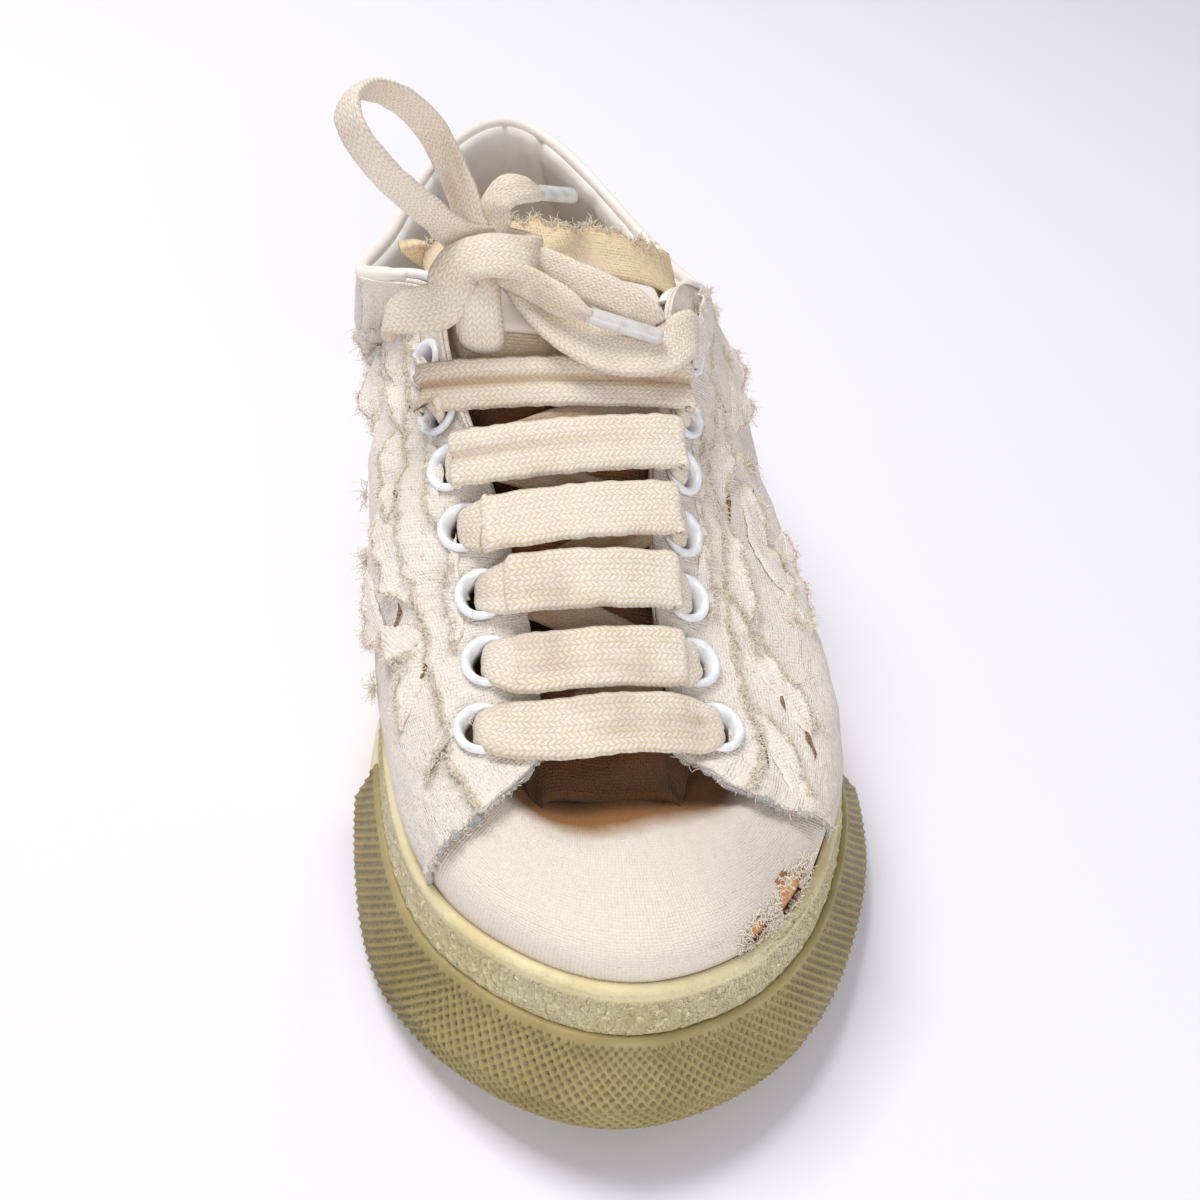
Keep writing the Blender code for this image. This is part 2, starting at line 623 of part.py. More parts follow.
# One row for each pair, from the toe. along is its y, medial and lateral are the distances of its
# eyelets from the throat's edge.
EYELET_ROWS = (
    # along   medial lateral
    (-77.0,   13.2,   9.6),
    (-64.3,    8.8,   6.8),
    (-51.6,    7.6,   6.8),
    (-38.9,    8.4,   6.8),
    (-26.2,    8.8,   7.4),
    (-13.6,   10.0,   7.8),
    (-1.0,    11.8,   7.4),
)
HOLE_RADIUS = 3.3
HOLE_HALF_DEPTH = 6.0
EYELET_TURNS = {"medial": (1.2, 7.4), "lateral": (22.9, 16.6)}

Site = namedtuple("Site", ("name", "turn", "rise", "centre", "normal"))


def eyelet_sites():
    """Return each eyelet's name, turn, rise, centre and outward normal, on the quarters' face."""
    rises = np.linspace(0.2, 1.0, 161)
    sites = []
    for side, (side_name, span) in enumerate(EYELET_TURNS.items()):
        turns = np.linspace(*span, 240)
        ribs = [upper_at(turn, rises, QUARTER_STEP) for turn in turns]
        to_edge = [np.linalg.norm(np.diff(rib, axis=0), axis=1)[::-1].cumsum()[::-1] for rib in ribs]
        for index, row in enumerate(EYELET_ROWS):
            marks = [np.interp(-row[side + 1], -left, rises[:-1]) for left in to_edge]
            places = upper_at(turns, marks, QUARTER_STEP)
            best = int(np.abs(places[:, 1] - row[0]).argmin())
            outward = unit(upper_at(turns[best], marks[best], 1.0) - upper_at(turns[best], marks[best], 0.0))
            sites.append(Site(f"{side_name}_{index + 1}", turns[best], marks[best], places[best], outward))
    return sites


EYELET_PROFILE = (
    # radius, height above the quarter
    (EYELET_BORE, -UPPER_WALL - QUARTER_STEP),
    (EYELET_BORE + 0.5, -UPPER_WALL - QUARTER_STEP),
    (EYELET_BORE + 0.5, 0.95),
    (EYELET_RADIUS, 0.95),
    (EYELET_BORE + 1.3, 1.8),
    (EYELET_BORE, 1.2),
)
EYELET_SEGMENTS = 10


def make_eyelet(site, material, collection):
    """Turned ring with a flange on the quarter and a barrel through the wall."""
    work = bmesh.new()
    profile = [work.verts.new(Vector((radius, 0.0, height)) * MILLIMETRE) for radius, height in EYELET_PROFILE]
    edges = [work.edges.new((low, high)) for low, high in zip(profile, profile[1:] + profile[:1])]
    bmesh.ops.spin(work, geom=profile + edges, cent=Vector(), axis=Vector((0.0, 0.0, 1.0)),
                   angle=2 * math.pi, steps=EYELET_SEGMENTS, use_merge=True)
    bmesh.ops.triangulate(work, faces=work.faces[:])
    piece = finish(f"eyelet_{site.name}", work, material, collection, 50.0)
    piece.rotation_mode = "QUATERNION"
    piece.rotation_quaternion = Vector((0.0, 0.0, 1.0)).rotation_difference(Vector(site.normal))
    piece.location = Vector(place(site.centre))
    return piece


LACE_ROWS = 6
LACE_LIFT = 3.7
LACE_CROWN = 2.0
LACE_EDGE_RISE = 1.7
RUN_DROP = 1.1
RUN_WIDTH = 7.0
RUN_THICKNESS = 1.1


def lace_row(start, end):
    """Path of one lace row from eyelet to eyelet, over the throat's edges and the tongue."""
    half = []
    for site, span in ((start, EYELET_TURNS["medial"]), (end, EYELET_TURNS["lateral"])):
        turns = np.linspace(*span, 240)
        edge_turn = turns[np.abs(sections(turns)["open_y"] - site.centre[1]).argmin()]
        edge = upper_at(edge_turn, 1.0, QUARTER_STEP + LACE_LIFT + LACE_EDGE_RISE)
        half.append((site.centre + site.normal * LACE_LIFT, edge))
    middle = (half[0][1] + half[1][1]) / 2 + THROAT_NORMAL * LACE_CROWN
    return open_spline([*half[0], middle, *half[1][::-1]], 9)


def make_lace_bars(material, collection, helpers, eyelets):
    """Six straight lace rows over the tongue, joined by the runs that climb beneath them."""
    site_of = {site.name: site for site in eyelets}
    rows = [lace_row(site_of[f"medial_{index}"], site_of[f"lateral_{index}"])
            for index in range(1, LACE_ROWS + 1)]
    parts = [finish(f"bar_{index + 1}", ribbon(row, THROAT_SLOPE, LACE_WIDTH, LACE_THICKNESS), material, helpers)
             for index, row in enumerate(rows)]
    for index, (low, high) in enumerate(zip(rows, rows[1:])):
        ends = (low[3], high[5]) if index % 2 else (low[5], high[3])
        share = np.linspace(-0.1, 1.1, 6)[:, None]
        run = ends[0] + (ends[1] - ends[0]) * share - THROAT_NORMAL * RUN_DROP
        across = np.cross(THROAT_NORMAL, ends[1] - ends[0])
        parts.append(finish(f"run_{index + 1}", ribbon(run, across, RUN_WIDTH, RUN_THICKNESS), material, helpers))
    return join("lace_bars", parts, collection)


def join(name, parts, collection):
    """Fuse touching parts into one solid and remove the helpers."""
    joined = bpy.data.objects.new(name, parts[0].data.copy())
    joined.data.name = name
    collection.objects.link(joined)
    for part in parts[1:]:
        part.hide_render = True
        part.display_type = "WIRE"
        fuse = joined.modifiers.new(part.name, "BOOLEAN")
        fuse.operation = "UNION"
        fuse.object = part
    bpy.data.objects.remove(parts[0])
    return joined


# Bow -------------------------------------------------------------------------------------------

CORD_RADIUS = 2.3
KNOT_CENTRE = (-25.5, 2.0, 97.4)
KNOT_SIZE = (11.5, 6.5, 4.2)
KNOT_TILT = 28.0

# Routes of the free lace, each point chosen in the section table's frame. The feeds come up through
# the top eyelets and end inside the knot.
FEED_ROUTES = {
    "feed_medial": ((-45.8, -5.2, 88.0), (-44.0, -6.8, 90.0), (-40.5, -7.0, 91.2), (-36.2, -5.0, 92.8),
                    (-32.0, -1.0, 95.4)),
    "feed_lateral": ((15.5, -3.4, 87.5), (12.0, -10.0, 88.4), (6.6, -14.8, 87.8), (0.0, -15.8, 87.2),
                     (-6.6, -13.8, 88.2), (-13.4, -8.8, 91.4), (-20.0, -1.0, 95.6)),
}
CORD_ROUTES = {
    "lace_loop_big": ((-34.5, 2.8, 104.0), (-39.8, 1.0, 110.0), (-46.4, -2.0, 117.7), (-52.2, -2.0, 125.4),
                      (-54.1, 2.0, 129.0), (-51.2, 8.0, 130.0), (-45.0, 13.0, 127.2), (-39.2, 14.0, 122.0),
                      (-35.6, 12.5, 115.7), (-32.4, 10.0, 109.1), (-30.6, 8.6, 103.6)),
    "lace_loop_small": ((-12.6, -0.4, 98.2), (-9.0, -2.8, 97.8), (-4.0, -5.2, 96.8), (1.4, -7.8, 95.4),
                        (5.0, -9.2, 92.8), (3.4, -8.8, 89.6), (-1.6, -8.4, 89.0), (-7.0, -6.8, 89.8),
                        (-12.0, -3.4, 92.0)),
    "lace_end_front": ((-22.5, -5.6, 98.2), (-16.4, -8.6, 98.0), (-11.6, -11.0, 96.6), (-7.6, -12.4, 95.2)),
    "lace_end_back": ((-24.6, 7.6, 103.2), (-25.8, 8.6, 107.6), (-23.4, 9.0, 111.0), (-20.0, 9.6, 111.2),
                      (-17.2, 11.6, 109.6)),
}
AGLETS = {
    "aglet_front": ((-7.1, -12.8, 95.4), (6.8, -14.2, 92.2)),
    "aglet_back": ((-16.2, 12.8, 108.8), (-7.6, 20.8, 104.6)),
}
AGLET_RADIUS = 1.9


def make_cord(name, route, material, collection):
    """Tube along a smooth curve through the route."""
    length = np.linalg.norm(np.diff(np.array(route), axis=0), axis=1).sum()
    count = max(4, int(length / (2.2 * CORD_RADIUS)))
    points = place(open_spline(route, count))
    curve = bpy.data.curves.new(name, "CURVE")
    curve.dimensions = "3D"
    curve.bevel_depth = CORD_RADIUS * MILLIMETRE
    curve.bevel_resolution = 2
    curve.use_fill_caps = True
    spline = curve.splines.new("POLY")
    spline.points.add(len(points) - 1)
    for point, place_here in zip(spline.points, points):
        point.co = (*place_here, 1.0)
    curve.materials.append(material)
    piece = bpy.data.objects.new(name, curve)
    collection.objects.link(piece)
    return piece


def make_aglet(name, start, end, material, collection):
    """Sleeve on the lace's end."""
    start, end = Vector(place(start)), Vector(place(end))
    work = bmesh.new()
    bmesh.ops.create_cone(work, cap_ends=True, segments=12, radius1=AGLET_RADIUS * MILLIMETRE,
                          radius2=AGLET_RADIUS * MILLIMETRE, depth=(end - start).length)
    piece = finish(name, work, material, collection)
    piece.rotation_mode = "QUATERNION"
    piece.rotation_quaternion = Vector((0.0, 0.0, 1.0)).rotation_difference(end - start)
    piece.location = (start + end) / 2
    return piece


def make_knot(material, collection, helpers):
    """The bow's knot, a low rounded body on the tongue, with the feeds that run into it."""
    work = bmesh.new()
    bmesh.ops.create_uvsphere(work, u_segments=14, v_segments=9, radius=MILLIMETRE)
    bmesh.ops.scale(work, vec=Vector(KNOT_SIZE), verts=work.verts)
    tilt = Matrix.Rotation(math.radians(KNOT_TILT), 3, "X")
    bmesh.ops.rotate(work, cent=Vector(), matrix=tilt, verts=work.verts)
    bmesh.ops.translate(work, vec=Vector(place(KNOT_CENTRE)), verts=work.verts)
    parts = [finish("knot_body", work, material, helpers)]
    for name, route in FEED_ROUTES.items():
        tube = make_cord(name, route, material, helpers)
        feed = bpy.data.objects.new(name, bpy.data.meshes.new_from_object(tube))
        helpers.objects.link(feed)
        bpy.data.objects.remove(tube)
        parts.append(feed)
    return join("lace_knot", parts, collection)


# Assembly --------------------------------------------------------------------------------------

def collection_named(name):
    """Make a collection in the scene."""
    collection = bpy.data.collections.new(name)
    bpy.context.scene.collection.children.link(collection)
    return collection


def main():
    """Build the sneaker."""
    for old in list(bpy.data.objects):
        bpy.data.objects.remove(old)
    shoe = collection_named("sneaker")
    helpers = collection_named("helpers")
    rubber = principled("rubber", (0.66, 0.58, 0.36), 0.55)
    canvas = principled("canvas", (0.80, 0.72, 0.58), 0.9)
    leather = principled("leather", (0.84, 0.76, 0.64), 0.5)
    lining = principled("lining", (0.62, 0.56, 0.48), 0.85)
    lace = principled("lace", (0.72, 0.60, 0.45), 0.9)
    enamel = principled("enamel", (0.86, 0.88, 0.90), 0.25)
    sleeve = principled("sleeve", (0.85, 0.83, 0.76), 0.3)
    eyelets = eyelet_sites()
    make_outsole(rubber, shoe, helpers)
    make_bumper(rubber, shoe)
    make_insole(lining, shoe)
    make_upper(canvas, shoe, helpers, eyelets)
    make_heel_counter(leather, shoe)
    make_tongue(canvas, shoe)
    make_tongue_patch(leather, shoe)
    for site in eyelets:
        make_eyelet(site, enamel, shoe)
    make_lace_bars(lace, shoe, helpers, eyelets)
    make_knot(lace, shoe, helpers)
    for name, route in CORD_ROUTES.items():
        make_cord(name, route, lace, shoe)
    for name, (start, end) in AGLETS.items():
        make_aglet(name, start, end, sleeve, shoe)


main()
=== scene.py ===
"""Looks of a worn-out low canvas sneaker, the left shoe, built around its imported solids.

Lengths are in millimetres in the shoe's own table frame until a mesh is made: the toe points to
-Y, the inner (medial) side is at -X and the outer (lateral) side at +X. A place on the upper is a
pair. `turn` counts the ribs of the last around the sole, from the toe along the medial side to
the heel and back, and `rise` goes from 0 at the rubber to 1 at the edge of the opening.
"""

from __future__ import annotations

import json
import logging
import math
from dataclasses import dataclass, field
from enum import Enum

import bmesh
import bpy
import numpy as np
from mathutils import Matrix, Vector

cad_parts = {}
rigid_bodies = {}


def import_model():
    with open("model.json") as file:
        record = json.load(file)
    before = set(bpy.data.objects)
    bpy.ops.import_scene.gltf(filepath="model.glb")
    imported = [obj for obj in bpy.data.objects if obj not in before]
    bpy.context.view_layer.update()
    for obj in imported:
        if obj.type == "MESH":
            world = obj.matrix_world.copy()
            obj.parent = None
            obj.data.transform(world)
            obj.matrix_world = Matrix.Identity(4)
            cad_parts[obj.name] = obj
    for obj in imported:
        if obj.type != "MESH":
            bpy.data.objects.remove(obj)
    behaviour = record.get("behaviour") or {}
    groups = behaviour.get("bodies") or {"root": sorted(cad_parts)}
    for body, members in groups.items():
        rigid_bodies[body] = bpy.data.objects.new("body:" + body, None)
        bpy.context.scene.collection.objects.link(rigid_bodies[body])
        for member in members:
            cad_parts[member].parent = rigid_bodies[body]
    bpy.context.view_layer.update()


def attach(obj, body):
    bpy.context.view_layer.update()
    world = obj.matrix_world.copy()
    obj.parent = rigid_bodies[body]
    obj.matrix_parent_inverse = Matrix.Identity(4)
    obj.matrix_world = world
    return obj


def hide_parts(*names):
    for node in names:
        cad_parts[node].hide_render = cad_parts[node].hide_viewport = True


LOG = logging.getLogger("sneaker")
MM = 0.001
MIDDLE = np.array([0.72, -0.885, 0.0])
UPPER_WALL = 1.8
QUARTER_STEP = 1.2
CONTACT_GAP = 0.3
SOLE_MIDDLE = np.array([0.72, -0.9])
SKIRT = 60.0
HOLE_RADIUS = 3.5
EDGE_SAMPLES = 240


# Numbers -----------------------------------------------------------------------------------------

def unit(vectors: np.ndarray) -> np.ndarray:
    """Scale vectors to length one."""
    return vectors / np.maximum(np.linalg.norm(vectors, axis=-1, keepdims=True), 1e-12)


def smooth(start: float, end: float, value: np.ndarray) -> np.ndarray:
    """Rise softly from 0 at `start` to 1 at `end`."""
    share = np.clip((value - start) / (end - start), 0.0, 1.0)
    return share * share * (3.0 - 2.0 * share)


def walk(points: np.ndarray) -> np.ndarray:
    """Return the length walked along a line of points, at each of them."""
    return np.concatenate([[0.0], np.cumsum(np.linalg.norm(np.diff(points, axis=0), axis=1))])


def place(points: np.ndarray) -> np.ndarray:
    """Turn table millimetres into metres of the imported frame."""
    return (np.asarray(points, dtype=float) - MIDDLE) * MM


def together(*values: np.ndarray | float) -> list[np.ndarray]:
    """Return values as arrays of numbers, all of one shape."""
    return list(np.broadcast_arrays(*[np.asarray(value, dtype=float) for value in values]))


@dataclass(frozen=True)
class Grain:
    """Smooth seeded noise on a plane, from -1 to 1.

    Attributes:
        seed: Start of the random lattice.
    """

    seed: int

    def lattice(self) -> np.ndarray:
        """Return the random lattice."""
        return np.random.default_rng(self.seed).uniform(-1.0, 1.0, (128, 128))

    def at(self, x: np.ndarray, y: np.ndarray, octaves: int = 1) -> np.ndarray:
        """Evaluate the noise.

        Args:
            x: First coordinate, one unit for each lattice step.
            y: Second coordinate.
            octaves: Number of layers, each twice as fine and half as strong.

        Returns:
            The noise at each place.
        """
        table = self.lattice()
        x, y = together(x, y)
        total = np.zeros(x.shape)
        strength = 1.0
        for _ in range(octaves):
            column, row = np.floor(x).astype(int), np.floor(y).astype(int)
            share_x, share_y = x - column, y - row
            share_x = share_x * share_x * (3 - 2 * share_x)
            share_y = share_y * share_y * (3 - 2 * share_y)
            corner = [[table[(row + down) % 128, (column + side) % 128] for side in (0, 1)] for down in (0,
                                                                                                         1)]
            upper = corner[0][0] * (1 - share_x) + corner[0][1] * share_x
            lower = corner[1][0] * (1 - share_x) + corner[1][1] * share_x
            total = total + strength * (upper * (1 - share_y) + lower * share_y)
            x, y = x * 2.03 + 17.1, y * 2.03 + 5.7
            strength *= 0.5
        return total


def cubic(share: np.ndarray, start: np.ndarray, start_slope: np.ndarray, end: np.ndarray,
          end_slope: np.ndarray) -> np.ndarray:
    """Return the curve between two knots with given slopes, at each `share` of the way."""
    return ((2 * share**3 - 3 * share**2 + 1) * start + (share**3 - 2 * share**2 + share) * start_slope
            + (3 * share**2 - 2 * share**3) * end + (share**3 - share**2) * end_slope)


def between(rows: np.ndarray, where: np.ndarray) -> np.ndarray:
    """Return rows of points at places counted in rows, on straight lines between the given rows."""
    low = np.minimum(where.astype(int), len(rows) - 2)
    share = (where - low)[:, None, None]
    return rows[low] * (1 - share) + rows[low + 1] * share


def closed_spline(knots: np.ndarray, turn: np.ndarray) -> np.ndarray:
    """Evaluate the smooth closed curve through a table's rows.

    Args:
        knots: The rows, in order round the curve.
        turn: Places on it, counted in rows.

    Returns:
        The curve's values at each place.
    """
    count = len(knots)
    system = 4.0 * np.eye(count) + np.roll(np.eye(count), 1, axis=1) + np.roll(np.eye(count), -1, axis=1)
    slope = np.linalg.solve(system, 3.0 * (np.roll(knots, -1, axis=0) - np.roll(knots, 1, axis=0)))
    turn = np.asarray(turn, dtype=float) % count
    start = np.floor(turn).astype(int) % count
    end = (start + 1) % count
    share = (turn - np.floor(turn))[..., None]
    return cubic(share, knots[start], slope[start], knots[end], slope[end])


def open_spline(points: np.ndarray, count: int) -> np.ndarray:
    """Space points evenly on a smooth curve.

    Args:
        points: Points that the curve goes through. Columns after the third go along with them.
        count: Number of points wanted.

    Returns:
        The points, with as many columns as were given.
    """
    points = np.asarray(points, dtype=float)
    last = len(points) - 1
    slope = np.gradient(points, axis=0)
    where = np.linspace(0.0, last, 40 * last + 1)
    start = np.minimum(where.astype(int), last - 1)
    share = (where - start)[:, None]
    curve = cubic(share, points[start], slope[start], points[start + 1], slope[start + 1])
    walked = walk(curve[:, :3])
    stops = np.linspace(0.0, walked[-1], count)
    return np.stack([np.interp(stops, walked, curve[:, axis]) for axis in range(curve.shape[1])], axis=1)


# Meshes ------------------------------------------------------------------------------------------

def surface(name: str, points: np.ndarray, cloth: np.ndarray | None = None,
            marks: dict[str, np.ndarray] | None = None, weld: bool = True) -> bpy.types.Object:
    """Make a sheet from a grid, moved to `points`, with rows or columns that meet welded together.

    Args:
        name: Name of the piece.
        points: Places of the grid's vertices, as (rows, columns, 3), in table millimetres.
        cloth: Place on the flat cloth for each vertex, as (rows, columns, 2), in millimetres.
        marks: Values from 0 to 1 for each vertex, by attribute name.
        weld: Whether vertices in one place become one.

    Returns:
        The new object, linked to the scene.
    """
    rows, columns = points.shape[:2]
    work = bmesh.new()
    bmesh.ops.create_grid(work, x_segments=columns - 1, y_segments=rows - 1, size=0.5)
    mesh = bpy.data.meshes.new(name)
    work.to_mesh(mesh)
    mesh.vertices.foreach_set("co", place(points).ravel().astype(np.float32))
    if cloth is not None:
        layer = mesh.uv_layers.get("cloth") or mesh.uv_layers.new(name="cloth")
        corner = np.zeros(len(mesh.loops), dtype=np.int32)
        mesh.loops.foreach_get("vertex_index", corner)
        layer.data.foreach_set("uv", cloth.reshape(-1, 2)[corner].ravel().astype(np.float32))
    for mark, values in (marks or {}).items():
        attribute = mesh.attributes.new(mark, "FLOAT", "POINT")
        attribute.data.foreach_set("value",
                                   np.broadcast_to(values, (rows, columns)).ravel().astype(np.float32))
    if weld:
        work.free()
        work = bmesh.new()
        work.from_mesh(mesh)
        bmesh.ops.remove_doubles(work, verts=work.verts, dist=2e-6)
        bmesh.ops.dissolve_degenerate(work, dist=1e-7, edges=work.edges)
        bmesh.ops.recalc_face_normals(work, faces=work.faces)
        work.to_mesh(mesh)
    work.free()
    return show(name, mesh)


def show(name: str, mesh: bpy.types.Mesh) -> bpy.types.Object:
    """Link a mesh to the scene as a smooth piece that rides on the shoe."""
    mesh.shade_smooth()
    piece = bpy.data.objects.new(name, mesh)
    bpy.context.scene.collection.objects.link(piece)
    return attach(piece, "root")


def sheets(name: str, grids: np.ndarray, cloth: np.ndarray) -> bpy.types.Object:
    """Join many sheets of the same size into one piece.

    Args:
        name: Name of the piece.
        grids: Places of the vertices, as (sheets, rows, columns, 3), in table millimetres.
        cloth: Place on the flat cloth for each vertex, as (sheets, rows, columns, 2).

    Returns:
        The new object.
    """
    count, rows, columns = grids.shape[:3]
    first = (np.arange(count) * rows * columns)[:, None, None]
    corner = first + (np.arange(rows - 1) * columns)[None, :, None] + np.arange(columns - 1)[None, None]
    faces = np.stack([corner, corner + 1, corner + columns + 1, corner + columns], axis=-1).reshape(-1, 4)
    mesh = bpy.data.meshes.new(name)
    mesh.from_pydata(place(grids.reshape(-1, 3)).tolist(), [], faces.tolist())
    layer = mesh.uv_layers.new(name="cloth")
    layer.data.foreach_set("uv", cloth.reshape(-1, 2)[faces.ravel()].ravel().astype(np.float32))
    return show(name, mesh)


def shell(name: str, outer: np.ndarray, inner: np.ndarray, closed: bool,
          cloth: np.ndarray | None = None, marks: dict[str, np.ndarray] | None = None) -> bpy.types.Object:
    """Make a wall between two sheets that share their columns.

    Args:
        name: Name of the piece.
        outer: Outer sheet, as (rows, columns, 3).
        inner: Inner sheet, whose rows may differ in number.
        closed: Whether the columns go all the way round. Otherwise the side edges are closed.
        cloth: Place on the flat cloth for the outer sheet.
        marks: Values for the outer sheet, by attribute name.

    Returns:
        The new object.
    """
    loop = np.concatenate([outer, inner[::-1], outer[:1]], axis=0)
    extra = len(inner) + 1

    def carried(values: np.ndarray) -> np.ndarray:
        """Give the inner rows the values of the outer sheet's last and first rows."""
        share = np.linspace(0.0, 1.0, extra).reshape((-1,) + (1,) * (values.ndim - 1))
        return np.concatenate([values, values[-1:] * (1 - share) + values[:1] * share], axis=0)

    cloth = None if cloth is None else carried(cloth)
    marks = {mark: carried(np.broadcast_to(values, outer.shape[:2])) for mark,
             values in (marks or {}).items()}
    if closed:
        loop = np.concatenate([loop, loop[:, :1]], axis=1)
        cloth = None if cloth is None else np.concatenate([cloth, 2 * cloth[:, -1:] - cloth[:, -2:-1]],
                                                          axis=1)
        marks = {mark: np.concatenate([values, values[:, :1]], axis=1) for mark, values in marks.items()}
        return surface(name, loop, cloth, marks)
    mate = np.linspace(0, len(inner) - 1, len(outer)).round().astype(int)
    back = np.linspace(0, len(outer) - 1, len(inner)).round().astype(int)[::-1]
    ends = []
    for column in (0, -1):
        front = (outer[:, column] + inner[mate, column]) / 2
        ends.append(np.concatenate([front, front[back], front[:1]], axis=0)[:, None])
    loop = np.concatenate([ends[0], loop, ends[1]], axis=1)
    cloth = None if cloth is None else np.concatenate([cloth[:, :1], cloth, cloth[:, -1:]], axis=1)
    marks = {mark: np.concatenate([values[:, :1], values, values[:, -1:]], axis=1) for mark,
             values in marks.items()}
    return surface(name, loop, cloth, marks)


def tube(name: str, path: np.ndarray, radius: np.ndarray | float, sides: int = 12,
         flat: float = 1.0, up: np.ndarray | None = None,
         marks: dict[str, np.ndarray] | None = None) -> bpy.types.Object:
    """Sweep a round or flattened section along a path, with closed ends.

    Args:
        name: Name of the piece.
        path: Points of the centreline.
        radius: Radius at each point, or one for all.
        sides: Number of sides of the section.
        flat: Height of the section as a share of its width.
        up: Direction of the section's height at each point.
        marks: Values for each point of the path, by attribute name.

    Returns:
        The new object.
    """
    along = unit(np.gradient(path, axis=0))
    up = np.broadcast_to(np.array([0.0, 0.0, 1.0]) if up is None else up, path.shape)
    side = unit(np.cross(along, up))
    up = np.cross(side, along)
    radius = np.broadcast_to(np.asarray(radius, dtype=float), (len(path),))
    angle = np.linspace(0.0, 2 * math.pi, sides + 1)
    ring = (side[:, None] * np.cos(angle)[None, :, None]
            + up[:, None] * (flat * np.sin(angle))[None, :, None])
    body = path[:, None] + ring * radius[:, None, None]
    caps = [np.repeat(path[end][None, None], sides + 1, axis=1) for end in (0, -1)]
    points = np.concatenate([caps[0], body, caps[1]], axis=0)
    walked = walk(path)
    walked = np.concatenate([walked[:1], walked, walked[-1:]])
    cloth = np.stack(np.broadcast_arrays(walked[:, None], (angle * radius.mean())[None]), axis=-1)
    spread = {mark: np.concatenate([values[:1], values, values[-1:]])[:, None] for mark,
              values in (marks or {}).items()}
    return surface(name, points, cloth, spread)


def threads(name: str, roots: np.ndarray, heading: np.ndarray, normal: np.ndarray, length: np.ndarray,
            radius: float, curl: float, seed: int, steps: int = 3) -> bpy.types.Object:
    """Join many short loose threads into one piece.

    Args:
        name: Name of the piece.
        roots: Foot of each thread, as (count, 3).
        heading: Direction in which each one sets off.
        normal: Direction away from the cloth at each one.
        length: Length of each one.
        radius: Half thickness at the foot.
        curl: How strongly the threads bend, from 0 for straight ones.
        seed: Start of the random draws.
        steps: Number of straight stretches in each thread.

    Returns:
        The new object.
    """
    draw = np.random.default_rng(seed)
    count = len(roots)
    heading, normal = unit(heading), unit(normal)
    side = unit(np.cross(heading, normal))
    bend_up = draw.normal(0.25, 0.6, count)[:, None] * curl
    bend_side = draw.normal(0.0, 0.9, count)[:, None] * curl
    spine = [roots]
    course = heading
    for _ in range(steps):
        turned = unit(course + normal * bend_up * 0.6 + side * bend_side * 0.6
                      + draw.normal(0.0, 0.22 * curl, (count, 3)))
        spine.append(spine[-1] + turned * (length / steps)[:, None])
        course = turned
        bend_up = bend_up - 0.35 * curl * draw.uniform(0.2, 1.0, (count, 1))
    spine = np.stack(spine, axis=1)
    along = unit(np.gradient(spine, axis=1))
    across = unit(np.cross(along, normal[:, None] + 0.05))
    lift = np.cross(along, across)
    taper = np.linspace(1.0, 0.45, steps + 1)[None, :, None]
    rings = []
    for corner in range(3):
        angle = 2 * math.pi * corner / 3
        rings.append(spine + (across * math.cos(angle) + lift * math.sin(angle)) * radius * taper)
    verts = np.stack(rings, axis=2).reshape(-1, 3)
    base = (np.arange(count) * (steps + 1) * 3)[:, None, None]
    low = (np.arange(steps) * 3)[None, :, None]
    corner = np.arange(3)[None, None, :]
    after = (corner + 1) % 3
    faces = np.stack([base + low + corner, base + low + after, base + low + 3 + after,
                      base + low + 3 + corner],
                     axis=-1).reshape(-1, 4)
    tips = (base[:, 0] + steps * 3 + np.arange(3)[None]).reshape(-1, 3)
    feet = (base[:, 0] + np.array([2, 1, 0])[None]).reshape(-1, 3)
    mesh = bpy.data.meshes.new(name)
    mesh.from_pydata(place(verts).tolist(), [], faces.tolist() + tips.tolist() + feet.tolist())
    return show(name, mesh)


# The last ----------------------------------------------------------------------------------------

